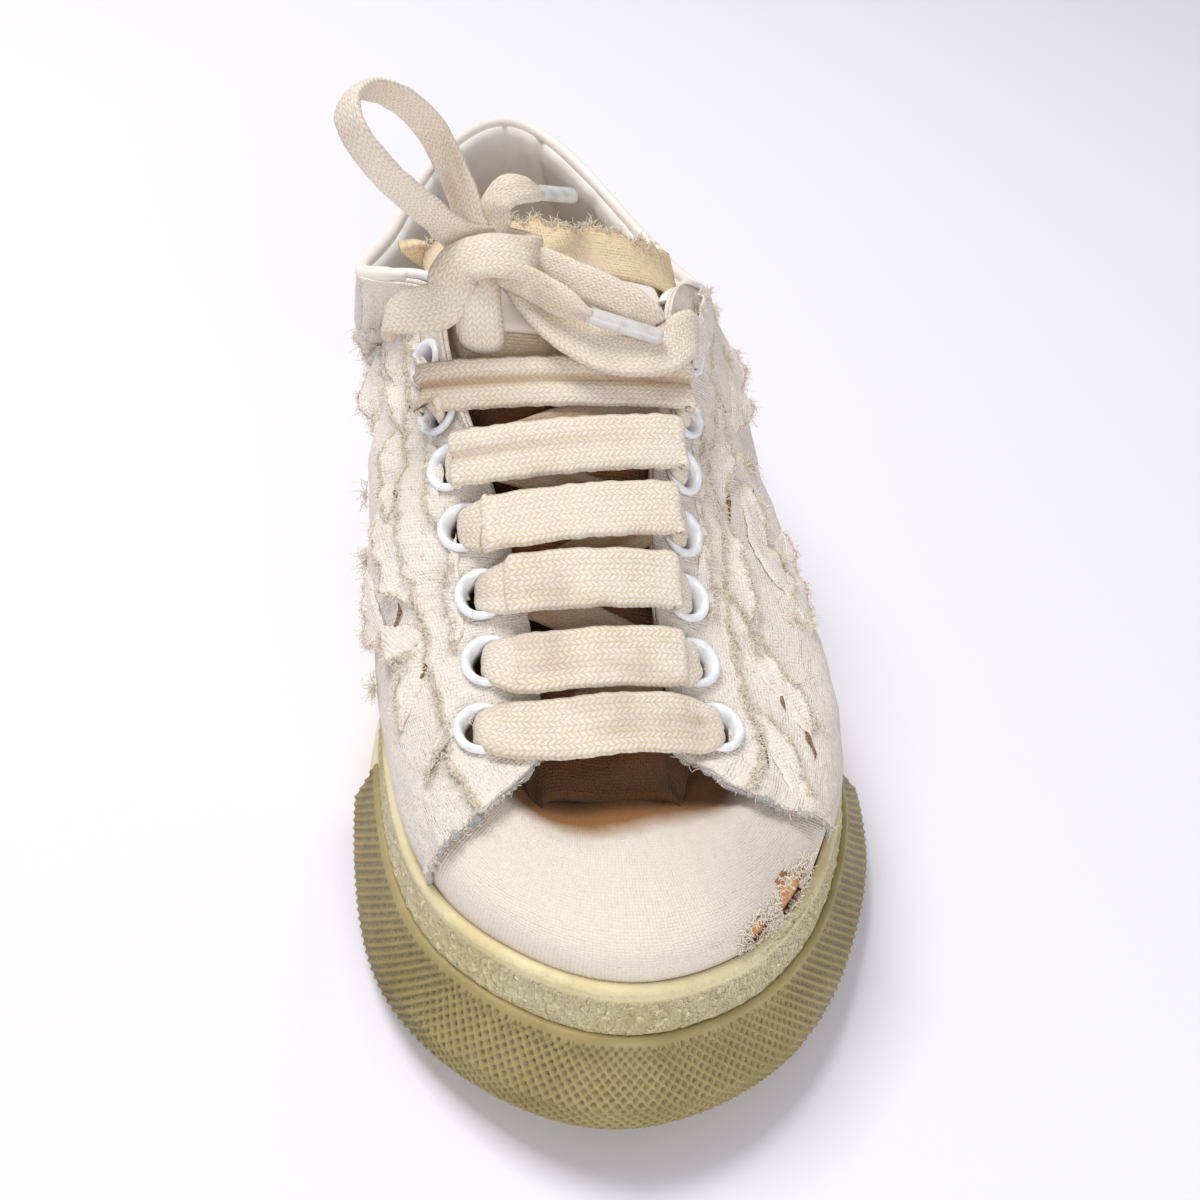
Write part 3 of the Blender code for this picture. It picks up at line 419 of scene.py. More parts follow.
COLUMNS = ("sole_x", "sole_y", "wall_top", "wall_lean",
           "open_x", "open_y", "open_z", "climb", "bulge", "run", "pitch")
SECTIONS = (
    # name              sole_x sole_y  top  lean  open_x open_y open_z climb bulge run pitch
    ("toe",            -10.0, -135.7, 33.5, 11.5,  -5.0, -77.0, 46.0, 12,  0, 30, 12),
    ("toe_medial",     -37.0, -120.5, 31.0, 10.2, -14.0, -78.0, 45.5, 13,  4, 26, 14),
    ("fore_medial",    -50.3,  -96.5, 28.5,  8.0, -19.5, -73.5, 47.0, 15, 10, 20, 12),
    ("ball_medial",    -53.0,  -66.0, 26.5,  5.8, -20.5, -60.0, 53.5, 19, 16, 22, 14),
    ("joint_medial",   -51.0,  -38.0, 25.5,  5.0, -23.0, -45.0, 61.5, 27, 24, 24,  8),
    ("waist_medial",   -45.0,   -8.0, 25.0,  4.5, -28.0, -25.0, 72.5, 35, 38, 25,  8),
    ("arch_medial",    -40.5,   20.0, 25.0,  4.0, -33.5,  -5.0, 83.5, 41, 44, 26, 13),
    ("eyestay_medial", -38.5,   38.0, 25.5,  4.0, -37.0,   9.0, 90.0, 40, 44, 20, 26),
    ("corner_medial",  -37.0,   54.0, 26.0,  4.0, -50.0,  23.0, 84.0, 34, 44, 16, 84),
    ("collar_medial",  -36.0,   74.0, 26.5,  4.0, -44.5,  50.0, 77.5, 26, 32, 16, 80),
    ("heel_medial",    -34.0,   97.0, 27.0,  4.0, -36.5,  84.0, 73.5, 22, 18, 16, 80),
    ("seat_medial",    -24.5,  123.0, 28.0,  4.5, -24.5, 111.5, 75.0, 20, 14, 18, 78),
    ("heel",            -4.0,  136.0, 28.5,  5.0,  -7.5, 125.0, 75.5, 22, 16, 20, 78),
    ("seat_lateral",    19.0,  125.0, 28.0,  4.5,   8.5, 111.0, 71.0, 20, 14, 18, 74),
    ("heel_lateral",    33.5,  102.0, 27.0,  4.0,  20.0,  85.0, 67.0, 20, 14, 16, 72),
    ("collar_lateral",  39.5,   76.0, 26.0,  4.5,  26.5,  56.0, 69.0, 24, 14, 18, 70),
    ("corner_lateral",  43.0,   52.0, 25.5,  5.0,  25.5,  31.0, 78.0, 28, 14, 22, 62),
    ("eyestay_lateral", 45.5,   32.0, 25.0,  5.5,  13.5,  10.5, 89.5, 32, 10, 24, 34),
    ("arch_lateral",    48.5,   12.0, 25.0,  6.0,   9.0,  -5.0, 83.5, 29, 10, 24, 40),
    ("waist_lateral",   52.0,  -13.0, 24.5,  7.0,   5.0, -25.0, 72.5, 26,  8, 26, 36),
    ("joint_lateral",   54.5,  -42.0, 24.5,  8.0,   3.0, -45.0, 61.5, 22,  8, 26, 30),
    ("ball_lateral",    53.0,  -70.0, 25.0,  9.0,   3.0, -60.0, 53.5, 18,  8, 26, 24),
    ("fore_lateral",    43.7,  -95.7, 27.5,  9.5,   4.0, -73.5, 47.0, 14,  6, 26, 16),
    ("toe_lateral",     23.3, -122.5, 31.0,  9.8,   1.0, -78.0, 45.5, 12,  2, 28, 12),
)
RING = len(SECTIONS)
KNOTS = np.array([row[1:] for row in SECTIONS], dtype=float)
THROAT_SLOPE = np.array([0.0, 0.88, 0.47])
THROAT_NORMAL = np.array([0.0, -0.47, 0.88])


class Last:
    """The shoe's form: the outline of its sole and the surface of its upper.

    Attributes:
        creases: Turn and rise of each main crease, its half sizes around and up, the angle by which
            they are turned, and its height.
    """

    creases: tuple[tuple[float, ...], ...] = (
        # turn  rise  around_mm  up_mm  angle  height_mm
        (23.15, 0.93,   9.0,      4.5,    8,   -2.6),
        (24.55, 0.92,   8.0,      4.0,   -6,   -2.2),
        (23.90, 0.80,  12.0,      5.0,    0,    1.0),
        (22.60, 0.80,   7.0,      3.5,   20,   -1.2),
        (22.95, 0.45,  16.0,      7.0,   30,   -0.9),
        (3.60,  0.62,   5.0,     13.0,   10,   -1.4),
        (4.70,  0.50,   4.0,     15.0,  -12,   -1.5),
        (5.60,  0.42,   5.0,     17.0,    8,   -1.3),
        (20.60, 0.55,   4.5,     14.0,  -10,   -1.3),
        (19.40, 0.48,   5.0,     16.0,   12,   -1.4),
        (18.30, 0.45,   5.0,     15.0,   -6,   -1.2),
        (9.60,  0.45,   5.0,     12.0,   10,   -1.2),
        (14.60, 0.45,   5.0,     12.0,  -12,   -1.2),
    )

    def columns(self, turn: np.ndarray) -> dict[str, np.ndarray]:
        """Return the table's columns at each `turn`."""
        values = closed_spline(KNOTS, turn)
        return {name: values[..., index] for index, name in enumerate(COLUMNS)}

    def outline(self, turn: np.ndarray, inset: np.ndarray | float) -> tuple[np.ndarray, np.ndarray]:
        """Return the sole's outline moved inside by `inset`, and its outward normals."""
        turn = np.asarray(turn, dtype=float)
        here = closed_spline(KNOTS[:, :2], turn)
        along = unit(closed_spline(KNOTS[:, :2], turn + 0.001) - closed_spline(KNOTS[:, :2], turn - 0.001))
        outward = np.stack([-along[..., 1], along[..., 0]], axis=-1)
        return here - outward * np.asarray(inset)[..., None], outward

    def even_turns(self, start: float, end: float, count: int) -> np.ndarray:
        """Return `count` turns from start to end at even steps along the outline."""
        fine = np.linspace(start, end, 2400)
        walked = walk(self.outline(fine, 4.0)[0])
        return np.interp(np.linspace(0.0, walked[-1], count), walked, fine)

    @staticmethod
    def ground(y: np.ndarray) -> np.ndarray:
        """Height of the sole's underside, sprung at the toe and lifted at the arch."""
        return (8.0 * np.clip((-68.0 - y) / 68.0, 0.0, 1.1) ** 2
                + 1.2 * np.clip(1.0 - ((y - 8.0) / 40.0) ** 2, 0.0, 1.0) ** 2)

    def floor_height(self, y: np.ndarray) -> np.ndarray:
        """Height of the floor inside the sole."""
        return self.ground(y) + 7.0 + 3.0 * smooth(-20.0, 60.0, y)

    def wall_inside(self, turn: np.ndarray) -> np.ndarray:
        """Inset of the rubber wall's inner face from the outline."""
        return self.columns(turn)["wall_lean"] + 2.0

    def bare(self, turn: np.ndarray, rise: np.ndarray) -> np.ndarray:
        """Work out points of the upper's surface, without its step and creases.

        Args:
            turn: Ribs of the last, counted from the toe.
            rise: Height on the rib, from 0 at the rubber to 1 at the opening.

        Returns:
            The points.
        """
        turn, rise = together(turn, rise)
        rise = rise[..., None]
        row = self.columns(turn)
        foot_xy, outward = self.outline(turn, row["wall_lean"] + 2.0 + CONTACT_GAP)
        foot = np.concatenate([foot_xy, row["wall_top"][..., None]], axis=-1)
        rim = np.stack([row["open_x"], row["open_y"], row["open_z"]], axis=-1)
        bulge = np.radians(row["bulge"])[..., None]
        up = np.concatenate([outward * np.sin(bulge), np.cos(bulge)], axis=-1)
        inward = unit(rim[..., :2] - foot[..., :2])
        pitch = np.radians(row["pitch"])[..., None]
        over = np.concatenate([inward * np.cos(pitch), np.sin(pitch)], axis=-1)
        low_pull = foot + row["climb"][..., None] * up
        high_pull = rim - row["run"][..., None] * over
        return ((1 - rise)**3 * foot + 3 * (1 - rise)**2 * rise * low_pull
                + 3 * (1 - rise) * rise**2 * high_pull + rise**3 * rim)

    def frame_at(self, turn: np.ndarray, rise: np.ndarray) -> tuple[np.ndarray, np.ndarray, np.ndarray]:
        """Return the steps of the surface for one turn and one rise, and its outward normal."""
        turn, rise = together(turn, rise)
        low, high = np.clip(rise - 0.004, 0.0, 1.0), np.clip(rise + 0.004, 0.0, 1.0)
        around = (self.bare(turn + 0.004, rise) - self.bare(turn - 0.004, rise)) / 0.008
        upward = (self.bare(turn, high) - self.bare(turn, low)) / (high - low)[..., None]
        return around, upward, unit(np.cross(upward, around))

    def relief(self, turn: np.ndarray, rise: np.ndarray) -> np.ndarray:
        """Work out the height of the main creases over the plain surface.

        Args:
            turn: Ribs of the last, counted from the toe.
            rise: Height on the rib, from 0 to 1.

        Returns:
            The height in millimetres, negative in a fold.
        """
        turn, rise = together(turn, rise)
        total = np.zeros(turn.shape)
        for crease_turn, crease_rise, around_mm, up_mm, angle, height in self.creases:
            around, upward, _ = self.frame_at(crease_turn, crease_rise)
            across = ((turn - crease_turn + RING / 2) % RING - RING / 2) * np.linalg.norm(around)
            along = (rise - crease_rise) * np.linalg.norm(upward)
            lean = math.radians(angle)
            first = (across * math.cos(lean) + along * math.sin(lean)) / around_mm
            second = (along * math.cos(lean) - across * math.sin(lean)) / up_mm
            total += height * np.exp(-(first**2 + second**2))
        return total

    def plain(self, turn: np.ndarray, rise: np.ndarray, lift: np.ndarray | float) -> np.ndarray:
        """Points of the uncreased surface, lifted along its normal."""
        turn, rise, lift = together(turn, rise, lift)
        return self.bare(turn, rise) + self.frame_at(turn, rise)[2] * lift[..., None]

    def skin(self, turn: np.ndarray, rise: np.ndarray, lift: np.ndarray | float) -> np.ndarray:
        """Points of the creased surface, lifted along its normal."""
        turn, rise, lift = together(turn, rise, lift)
        return self.plain(turn, rise, lift + self.relief(turn, rise))

    def rise_below(self, turn: np.ndarray, depth: np.ndarray) -> np.ndarray:
        """Find places by their distance below the opening's edge.

        Args:
            turn: Ribs of the last, counted from the toe.
            depth: Distance below the edge along the rib, in millimetres.

        Returns:
            The rise of each place.
        """
        turn, depth = together(turn, depth)
        flat_turn, flat_depth = turn.ravel(), depth.ravel()
        rises = np.linspace(1.0, 0.05, 96)
        ribs = self.bare(flat_turn[:, None], rises[None])
        walked = np.cumsum(np.linalg.norm(np.diff(ribs, axis=1), axis=2), axis=1)
        walked = np.concatenate([np.zeros((len(flat_turn), 1)), walked], axis=1)
        found = [np.interp(deep, rib, rises) for deep, rib in zip(flat_depth, walked)]
        return np.array(found).reshape(turn.shape)


LAST = Last()


class Side(Enum):
    """The two halves of the upper, with the turns between which each one's eyelets lie."""

    MEDIAL = (1.2, 7.4)
    LATERAL = (22.9, 16.6)

    @property
    def label(self) -> str:
        """Name of the side in lower case."""
        return self.name.lower()


# Finishes ----------------------------------------------------------------------------------------

def linear(code: str) -> tuple[float, float, float, float]:
    """Turn an sRGB hex colour into a linear colour."""
    shares = [int(code[start:start + 2], 16) / 255 for start in (1, 3, 5)]
    red, green, blue = [share / 12.92 if share <= 0.04045 else ((share + 0.055) / 1.055) ** 2.4
                        for share in shares]
    return red, green, blue, 1.0


def feed(tree: bpy.types.NodeTree, node: bpy.types.Node, inputs: dict[str | int, object]) -> None:
    """Give a node's inputs their values and links.

    Args:
        tree: Node tree of the material.
        node: The node.
        inputs: Value or output socket for each input socket, by its name or number.
    """
    for socket, value in inputs.items():
        if isinstance(value, bpy.types.NodeSocket):
            tree.links.new(value, node.inputs[socket])
        else:
            node.inputs[socket].default_value = value


def add(tree: bpy.types.NodeTree, kind: str, inputs: dict[str | int, object],
        **settings: object) -> bpy.types.Node:
    """Add a node with its settings, values and links.

    Args:
        tree: Node tree of the material.
        kind: Blender's name for the node, after ShaderNode.
        inputs: Value or output socket for each input socket, by its name or number.
        settings: The node's own settings.

    Returns:
        The new node.
    """
    node = tree.nodes.new(f"ShaderNode{kind}")
    for name, value in settings.items():
        setattr(node, name, value)
    feed(tree, node, inputs)
    return node


def start_material(name: str) -> tuple[bpy.types.Material, bpy.types.NodeTree, bpy.types.Node]:
    """Make a material and return it with its tree and its Principled shader."""
    material = bpy.data.materials.new(name)
    material.use_nodes = True
    tree = material.node_tree
    return material, tree, tree.nodes["Principled BSDF"]


@dataclass(frozen=True)
class Cotton:
    """Woven cotton canvas.

    Thick matt threads cross over and under. The crowns are pale, the gaps between them hold shade
    and dust, and the cloth has yellowed unevenly. The yellowed colour also serves as painted shade
    where a piece asks for it, as in the vamp's fold under the first lace row.

    Attributes:
        name: Name of the material.
        pale: Colour of the threads' crowns.
        deep: Colour in the gaps.
        aged: Colour where the cloth has yellowed, and on the vamp the painted brown shade in its fold.
        soil: Colour of the dirt and of painted shade, where the `soil` attribute says so.
        pitch: Distance between threads in millimetres, drawn a little coarser than real duck.
        relief: Height of the weave in millimetres.
        crumple: Height of the soft crumples in millimetres.
    """

    name: str
    pale: str
    deep: str
    aged: str
    soil: str = "#A0968F"
    pitch: float = 0.72
    relief: float = 0.16
    crumple: float = 0.3

    def make(self) -> bpy.types.Material:
        """Return the material."""
        material, tree, shader = start_material(self.name)
        cloth = add(tree, "UVMap", {}, uv_map="cloth").outputs["UV"]
        where = add(tree, "TexCoord", {}).outputs["Object"]
        stray = add(tree, "TexNoise", {"Vector": cloth, "Scale": 0.55, "Detail": 2.0})
        bent = add(tree, "VectorMath", {0: stray.outputs["Color"], 1: (0.5, 0.5, 0.5), 2: cloth},
                   operation="MULTIPLY_ADD")
        grid = add(tree, "Mapping", {"Vector": bent.outputs[0], "Location": (0.0, 0.0, 0.5),
                                               "Scale": (1 / self.pitch, 1 / self.pitch, 0.0)}).outputs[0]
        over = add(tree, "TexChecker", {"Vector": grid, "Scale": 1.0}).outputs["Fac"]
        # One wave is one thread: a period of one step of the grid.
        warp = add(tree, "TexWave", {"Vector": grid, "Scale": math.pi / 10},
                   wave_type="BANDS", bands_direction="X").outputs["Fac"]
        weft = add(tree, "TexWave", {"Vector": grid, "Scale": math.pi / 10},
                   wave_type="BANDS", bands_direction="Y").outputs["Fac"]
        top = add(tree, "Mix", {"Factor": over, "A": warp, "B": weft}).outputs["Result"]
        both = add(tree, "Math", {0: warp, 1: weft}, operation="MULTIPLY").outputs[0]
        weave = add(tree, "Math", {0: top, 1: 0.55, 2: both}, operation="MULTIPLY_ADD").outputs[0]
        fibre = add(tree, "TexNoise", {"Vector": cloth, "Scale": 2.6, "Detail": 4.0,
                                                 "Roughness": 0.7}).outputs["Fac"]
        height = add(tree, "Math", {0: fibre, 1: 0.9, 2: weave}, operation="MULTIPLY_ADD").outputs[0]
        blotch = add(tree, "TexNoise", {"Vector": where, "Scale": 45.0, "Detail": 5.0,
                                                  "Roughness": 0.62}).outputs["Fac"]
        # Yellowing by piece; on the vamp's fold under the first lace row it is painted shade.
        tint = add(tree, "Attribute", {}, attribute_name="tint").outputs["Fac"]
        yellow_and_shade = add(tree, "Math", {0: blotch, 1: tint}, operation="ADD").outputs[0]
        yellow_and_shade = add(tree, "MapRange", {"Value": yellow_and_shade, "From Min": 0.42, "From Max": 1.25}).outputs[0]
        crown = add(tree, "Mix", {0: yellow_and_shade, 6: linear(self.pale), 7: linear(self.aged)},
                    data_type="RGBA").outputs[2]
        shade = add(tree, "MapRange", {"Value": height, "From Min": 0.35, "From Max": 1.15}).outputs[0]
        pits = add(tree, "Mix", {0: yellow_and_shade, 6: linear(self.deep), 7: linear(self.aged)},
                   data_type="RGBA").outputs[2]
        woven = add(tree, "Mix", {0: shade, 6: pits, 7: crown}, data_type="RGBA").outputs[2]
        # Dirt by piece, and painted shade where a piece asks for it, as down in the tongue's throat.
        dirt_and_shade = add(tree, "Attribute", {}, attribute_name="soil").outputs["Fac"]
        patchy = add(tree, "MapRange", {"Value": fibre, "From Min": 0.25, "From Max": 0.75,
                                                  "To Min": 0.45, "To Max": 1.0}).outputs[0]
        dirt_and_shade = add(tree, "Math", {0: dirt_and_shade, 1: patchy}, operation="MULTIPLY", use_clamp=True).outputs[0]
        colour = add(tree, "Mix", {0: dirt_and_shade, 6: woven, 7: linear(self.soil)}, data_type="RGBA").outputs[2]
        soft = add(tree, "TexNoise", {"Vector": cloth, "Scale": 0.22, "Detail": 5.0,
                                                "Roughness": 0.62}).outputs["Fac"]
        crumpled = add(tree, "Bump", {"Height": soft, "Strength": 1.0,
                                                "Distance": 4 * self.crumple * MM}).outputs[0]
        bump = add(tree, "Bump", {"Height": height, "Strength": 1.0, "Distance": self.relief * MM,
                                            "Normal": crumpled})
        feed(tree, shader, {"Base Color": colour, "Normal": bump.outputs[0], "Roughness": 0.95, "IOR": 1.46,
                            "Specular IOR Level": 0.2, "Sheen Weight": 0.15, "Sheen Roughness": 0.6})
        return material


@dataclass(frozen=True)
class Rubber:
    """Vulcanised rubber that has yellowed with age.

    A dull skin with a soft wide highlight, darker where dirt sits in its grain. Where the `grit`
    attribute is 1 it is moulded with a coarse pebble, shaded in the pits.

    Attributes:
        name: Name of the material.
        pale: Colour of the cleaner rubber.
        deep: Colour of the yellowed rubber.
        soil: Colour of dirt and scuffs, and of painted shade in pits and grooves, where the `soil`
            attribute says so.
        grain: Width of the surface's grain in millimetres.
        relief: Height of the grain in millimetres.
        roughness: Roughness of the skin.
    """

    name: str
    pale: str
    deep: str
    soil: str
    grain: float
    relief: float
    roughness: float = 0.55

    def make(self) -> bpy.types.Material:
        """Return the material."""
        material, tree, shader = start_material(self.name)
        where = add(tree, "TexCoord", {}).outputs["Object"]
        blotch = add(tree, "TexNoise", {"Vector": where, "Scale": 60.0, "Detail": 6.0,
                                                  "Roughness": 0.65}).outputs["Fac"]
        grain = add(tree, "TexNoise", {"Vector": where, "Scale": 1.0 / (self.grain * MM), "Detail": 3.0,
                                                 "Roughness": 0.6}).outputs["Fac"]
        pebble = add(tree, "TexNoise", {"Vector": where, "Scale": 1.0 / (1.1 * MM), "Detail": 3.0,
                                                  "Roughness": 0.6}).outputs["Fac"]
        pebble = add(tree, "MapRange", {"Value": pebble, "From Min": 0.36, "From Max": 0.62}).outputs[0]
        grit = add(tree, "Attribute", {}, attribute_name="grit").outputs["Fac"]
        moulded = add(tree, "Math", {0: pebble, 1: grit}, operation="MULTIPLY").outputs[0]
        pit = add(tree, "Math", {0: grit, 1: moulded}, operation="SUBTRACT").outputs[0]
        worn = add(tree, "MapRange", {"Value": blotch, "From Min": 0.35, "From Max": 0.68}).outputs[0]
        base = add(tree, "Mix", {0: worn, 6: linear(self.pale), 7: linear(self.deep)},
                   data_type="RGBA").outputs[2]
        dirt_and_shade = add(tree, "Attribute", {}, attribute_name="soil").outputs["Fac"]
        broken = add(tree, "MapRange", {"Value": grain, "From Min": 0.35, "From Max": 0.62,
                                                  "To Min": 1.25, "To Max": 0.35}).outputs[0]
        dirt_and_shade = add(tree, "Math", {0: dirt_and_shade, 1: broken}, operation="MULTIPLY").outputs[0]
        # Painted shade in the pebble's pits, added to the dirt.
        dirt_and_shade = add(tree, "Math", {0: pit, 1: 0.28, 2: dirt_and_shade}, operation="MULTIPLY_ADD",
                   use_clamp=True).outputs[0]
        colour = add(tree, "Mix", {0: dirt_and_shade, 6: base, 7: linear(self.soil)}, data_type="RGBA").outputs[2]
        height = add(tree, "Math", {0: moulded, 1: 4.0, 2: grain}, operation="MULTIPLY_ADD").outputs[0]
        bump = add(tree, "Bump", {"Height": height, "Strength": 1.0, "Distance": self.relief * MM})
        rough = add(tree, "MapRange", {"Value": blotch, "From Min": 0.3, "From Max": 0.7,
                                                 "To Min": self.roughness - 0.08,
                                                 "To Max": self.roughness + 0.12}).outputs[0]
        feed(tree, shader, {"Base Color": colour, "Roughness": rough, "Normal": bump.outputs[0], "IOR": 1.5,
                            "Specular IOR Level": 0.4})
        return material


@dataclass(frozen=True)
class Hide:
    """Smooth lined leather or leather-like lining with a fine pebble and a satin skin.

    Attributes:
        name: Name of the material.
        pale: Colour of the hide.
        deep: Colour in its creases and where feet have rubbed it.
        pebble: Width of the pebbles in millimetres.
        relief: Height of the pebbles in millimetres.
        roughness: Roughness of the skin.
    """

    name: str
    pale: str
    deep: str
    pebble: float = 0.6
    relief: float = 0.05
    roughness: float = 0.5

    def make(self) -> bpy.types.Material:
        """Return the material."""
        material, tree, shader = start_material(self.name)
        where = add(tree, "TexCoord", {}).outputs["Object"]
        pebble = add(tree, "TexVoronoi", {"Vector": where, "Scale": 1.0 / (self.pebble * MM)},
                     feature="SMOOTH_F1").outputs["Distance"]
        cloud = add(tree, "TexNoise", {"Vector": where, "Scale": 70.0, "Detail": 6.0,
                                                 "Roughness": 0.6}).outputs["Fac"]
        rubbed = add(tree, "MapRange", {"Value": cloud, "From Min": 0.38, "From Max": 0.7,
                                                  "To Max": 0.8}).outputs[0]
        dirt_and_shade = add(tree, "Attribute", {}, attribute_name="soil").outputs["Fac"]
        share = add(tree, "Math", {0: rubbed, 1: 0.35, 2: dirt_and_shade}, operation="MULTIPLY_ADD",
                    use_clamp=True).outputs[0]
        colour = add(tree, "Mix", {0: share, 6: linear(self.pale), 7: linear(self.deep)},
                     data_type="RGBA").outputs[2]
        bump = add(tree, "Bump", {"Height": pebble, "Strength": 0.6, "Distance": self.relief * MM},
                   invert=True)
        feed(tree, shader, {"Base Color": colour, "Normal": bump.outputs[0], "Roughness": self.roughness,
                            "Specular IOR Level": 0.35})
        return material


@dataclass(frozen=True)
class Braid:
    """Flat braided cotton lace, soft and matt.

    Fine stitches lean left and right in turn, in columns along the lace, with painted grey-brown shade
    between them and a soft bloom of loose fibre on top.

    Attributes:
        name: Name of the material.
        pale: Colour of the stitches' crowns.
        deep: Colour between the stitches, where shade is painted.
        soil: Colour of smudges, and of painted shade in creases and beneath the rows.
        wale: Width of one column of stitches in millimetres.
        stitch: Length of one stitch in millimetres.
        relief: Height of the stitches in millimetres.
    """

    name: str
    pale: str
    deep: str
    soil: str = "#9A9188"
    wale: float = 0.95
    stitch: float = 1.1
    relief: float = 0.13

    def make(self) -> bpy.types.Material:
        """Return the material."""
        material, tree, shader = start_material(self.name)
        cloth = add(tree, "UVMap", {}, uv_map="cloth").outputs["UV"]
        where = add(tree, "TexCoord", {}).outputs["Object"]
        stray = add(tree, "TexNoise", {"Vector": cloth, "Scale": 0.8, "Detail": 2.0})
        bent = add(tree, "VectorMath", {0: stray.outputs["Color"], 1: (0.7, 0.7, 0.7), 2: cloth},
                   operation="MULTIPLY_ADD").outputs[0]
        place_on = add(tree, "SeparateXYZ", {0: bent})
        along, over = place_on.outputs[0], place_on.outputs[1]
        zigzag = add(tree, "Math", {0: over, 1: self.wale}, operation="PINGPONG").outputs[0]
        run = add(tree, "Math", {0: along, 1: zigzag}, operation="ADD").outputs[0]
        turned = add(tree, "Math", {0: run, 1: math.pi / self.stitch}, operation="MULTIPLY").outputs[0]
        wave = add(tree, "Math", {0: turned}, operation="SINE").outputs[0]
        stitch = add(tree, "Math", {0: wave}, operation="ABSOLUTE").outputs[0]
        column = add(tree, "Math", {0: over, 1: math.pi / self.wale}, operation="MULTIPLY").outputs[0]
        column = add(tree, "Math", {0: column}, operation="SINE").outputs[0]
        column = add(tree, "Math", {0: column}, operation="ABSOLUTE").outputs[0]
        column = add(tree, "Math", {0: column, 1: 0.5}, operation="POWER").outputs[0]
        crown = add(tree, "Math", {0: stitch, 1: column}, operation="MULTIPLY").outputs[0]
        fibre = add(tree, "TexNoise", {"Vector": cloth, "Scale": 2.2, "Detail": 5.0,
                                                 "Roughness": 0.75}).outputs["Fac"]
        height = add(tree, "Math", {0: fibre, 1: 1.6, 2: crown}, operation="MULTIPLY_ADD").outputs[0]
        cloud = add(tree, "TexNoise", {"Vector": where, "Scale": 90.0, "Detail": 4.0}).outputs["Fac"]
        # Painted shade: the stitches' crowns are paler and the gaps between them darker.
        lit = add(tree, "Math", {0: cloud, 1: 0.8, 2: height}, operation="MULTIPLY_ADD").outputs[0]
        share = add(tree, "MapRange", {"Value": lit, "From Min": 0.9, "From Max": 1.9}).outputs[0]
        base = add(tree, "Mix", {0: share, 6: linear(self.deep), 7: linear(self.pale)},
                   data_type="RGBA").outputs[2]
        dirt_and_shade = add(tree, "Attribute", {}, attribute_name="soil").outputs["Fac"]
        colour = add(tree, "Mix", {0: dirt_and_shade, 6: base, 7: linear(self.soil)}, data_type="RGBA").outputs[2]
        bump = add(tree, "Bump", {"Height": height, "Strength": 1.0, "Distance": self.relief * MM})
        feed(tree, shader, {"Base Color": colour, "Normal": bump.outputs[0], "Roughness": 0.95,
                            "Specular IOR Level": 0.15, "Sheen Weight": 0.2, "Sheen Roughness": 0.6})
        return material


@dataclass(frozen=True)
class Gloss:
    """A hard smooth skin, such as stove enamel on an eyelet or a plastic lace tip.

    Attributes:
        name: Name of the material.
        pale: Colour of the skin.
        dull: Colour where it is scratched and handled.
        roughness: Roughness of the skin.
        coat: Weight of the clear top layer.
        see_through: How much light passes through it.
    """

    name: str
    pale: str
    dull: str
    roughness: float = 0.25
    coat: float = 0.4
    see_through: float = 0.0

    def make(self) -> bpy.types.Material:
        """Return the material."""
        material, tree, shader = start_material(self.name)
        where = add(tree, "TexCoord", {}).outputs["Object"]
        cloud = add(tree, "TexNoise", {"Vector": where, "Scale": 400.0, "Detail": 5.0}).outputs["Fac"]
        share = add(tree, "MapRange", {"Value": cloud, "From Min": 0.45, "From Max": 0.75}).outputs[0]
        colour = add(tree, "Mix", {0: share, 6: linear(self.pale), 7: linear(self.dull)},
                     data_type="RGBA").outputs[2]
        rough = add(tree, "MapRange", {"Value": cloud, "To Min": self.roughness - 0.05,
                                                 "To Max": self.roughness + 0.2}).outputs[0]
        feed(tree, shader, {"Base Color": colour, "Roughness": rough, "Coat Weight": self.coat,
                            "Coat Roughness": 0.12, "Transmission Weight": self.see_through})
        return material


# The vamp's yellowed colour is a deep brown that paints the shade in its fold under the first lace row.
VAMP_CANVAS = Cotton("vamp_cotton_canvas", "#F0E5D7", "#E5D8C7", "#96652F", soil="#AAA0A0", pitch=0.55,
                     relief=0.07, crumple=0.2)
SIDE_CANVAS = Cotton("side_cotton_canvas", "#F8F0E8", "#E9DCCD", "#EFE2D2", pitch=0.7, relief=0.1,
                     crumple=0.4)
# The tongue's dirt colour is a deep brown that mostly paints the shade down in the throat.
TONGUE_CANVAS = Cotton("tongue_cotton_canvas", "#F5E8D4", "#E4CFB0", "#F2DAB4", soil="#6A421E", pitch=0.75,
                       relief=0.13)
BACKING = Cotton("toe_backing_cloth", "#EEBE86", "#D0955A", "#DE9F5E", soil="#BC7A40", pitch=0.5, relief=0.1)
YARN = Cotton("frayed_cotton_yarn", "#F3E9D8", "#D8C8AE", "#E6D6BC", pitch=0.5, relief=0.05)
# A dark brown cloth that paints the shade in the slits between torn layers.
PAINTED_SHADE_CLOTH = Cotton("shaded_inner_cloth", "#9A7C5A", "#5E432B", "#8A6440", pitch=0.7, relief=0.1)
EDGE_CLOTH = Cotton("dusty_binding_cloth", "#E2DBD0", "#A9A5A2", "#C9C2B6", soil="#8B9097", pitch=0.5,
                    relief=0.12)
SOLE_RUBBER = Rubber("yellowed_sole_rubber", "#E8DDB6", "#D9CA98", "#95865A", 0.8, 0.16, 0.55)
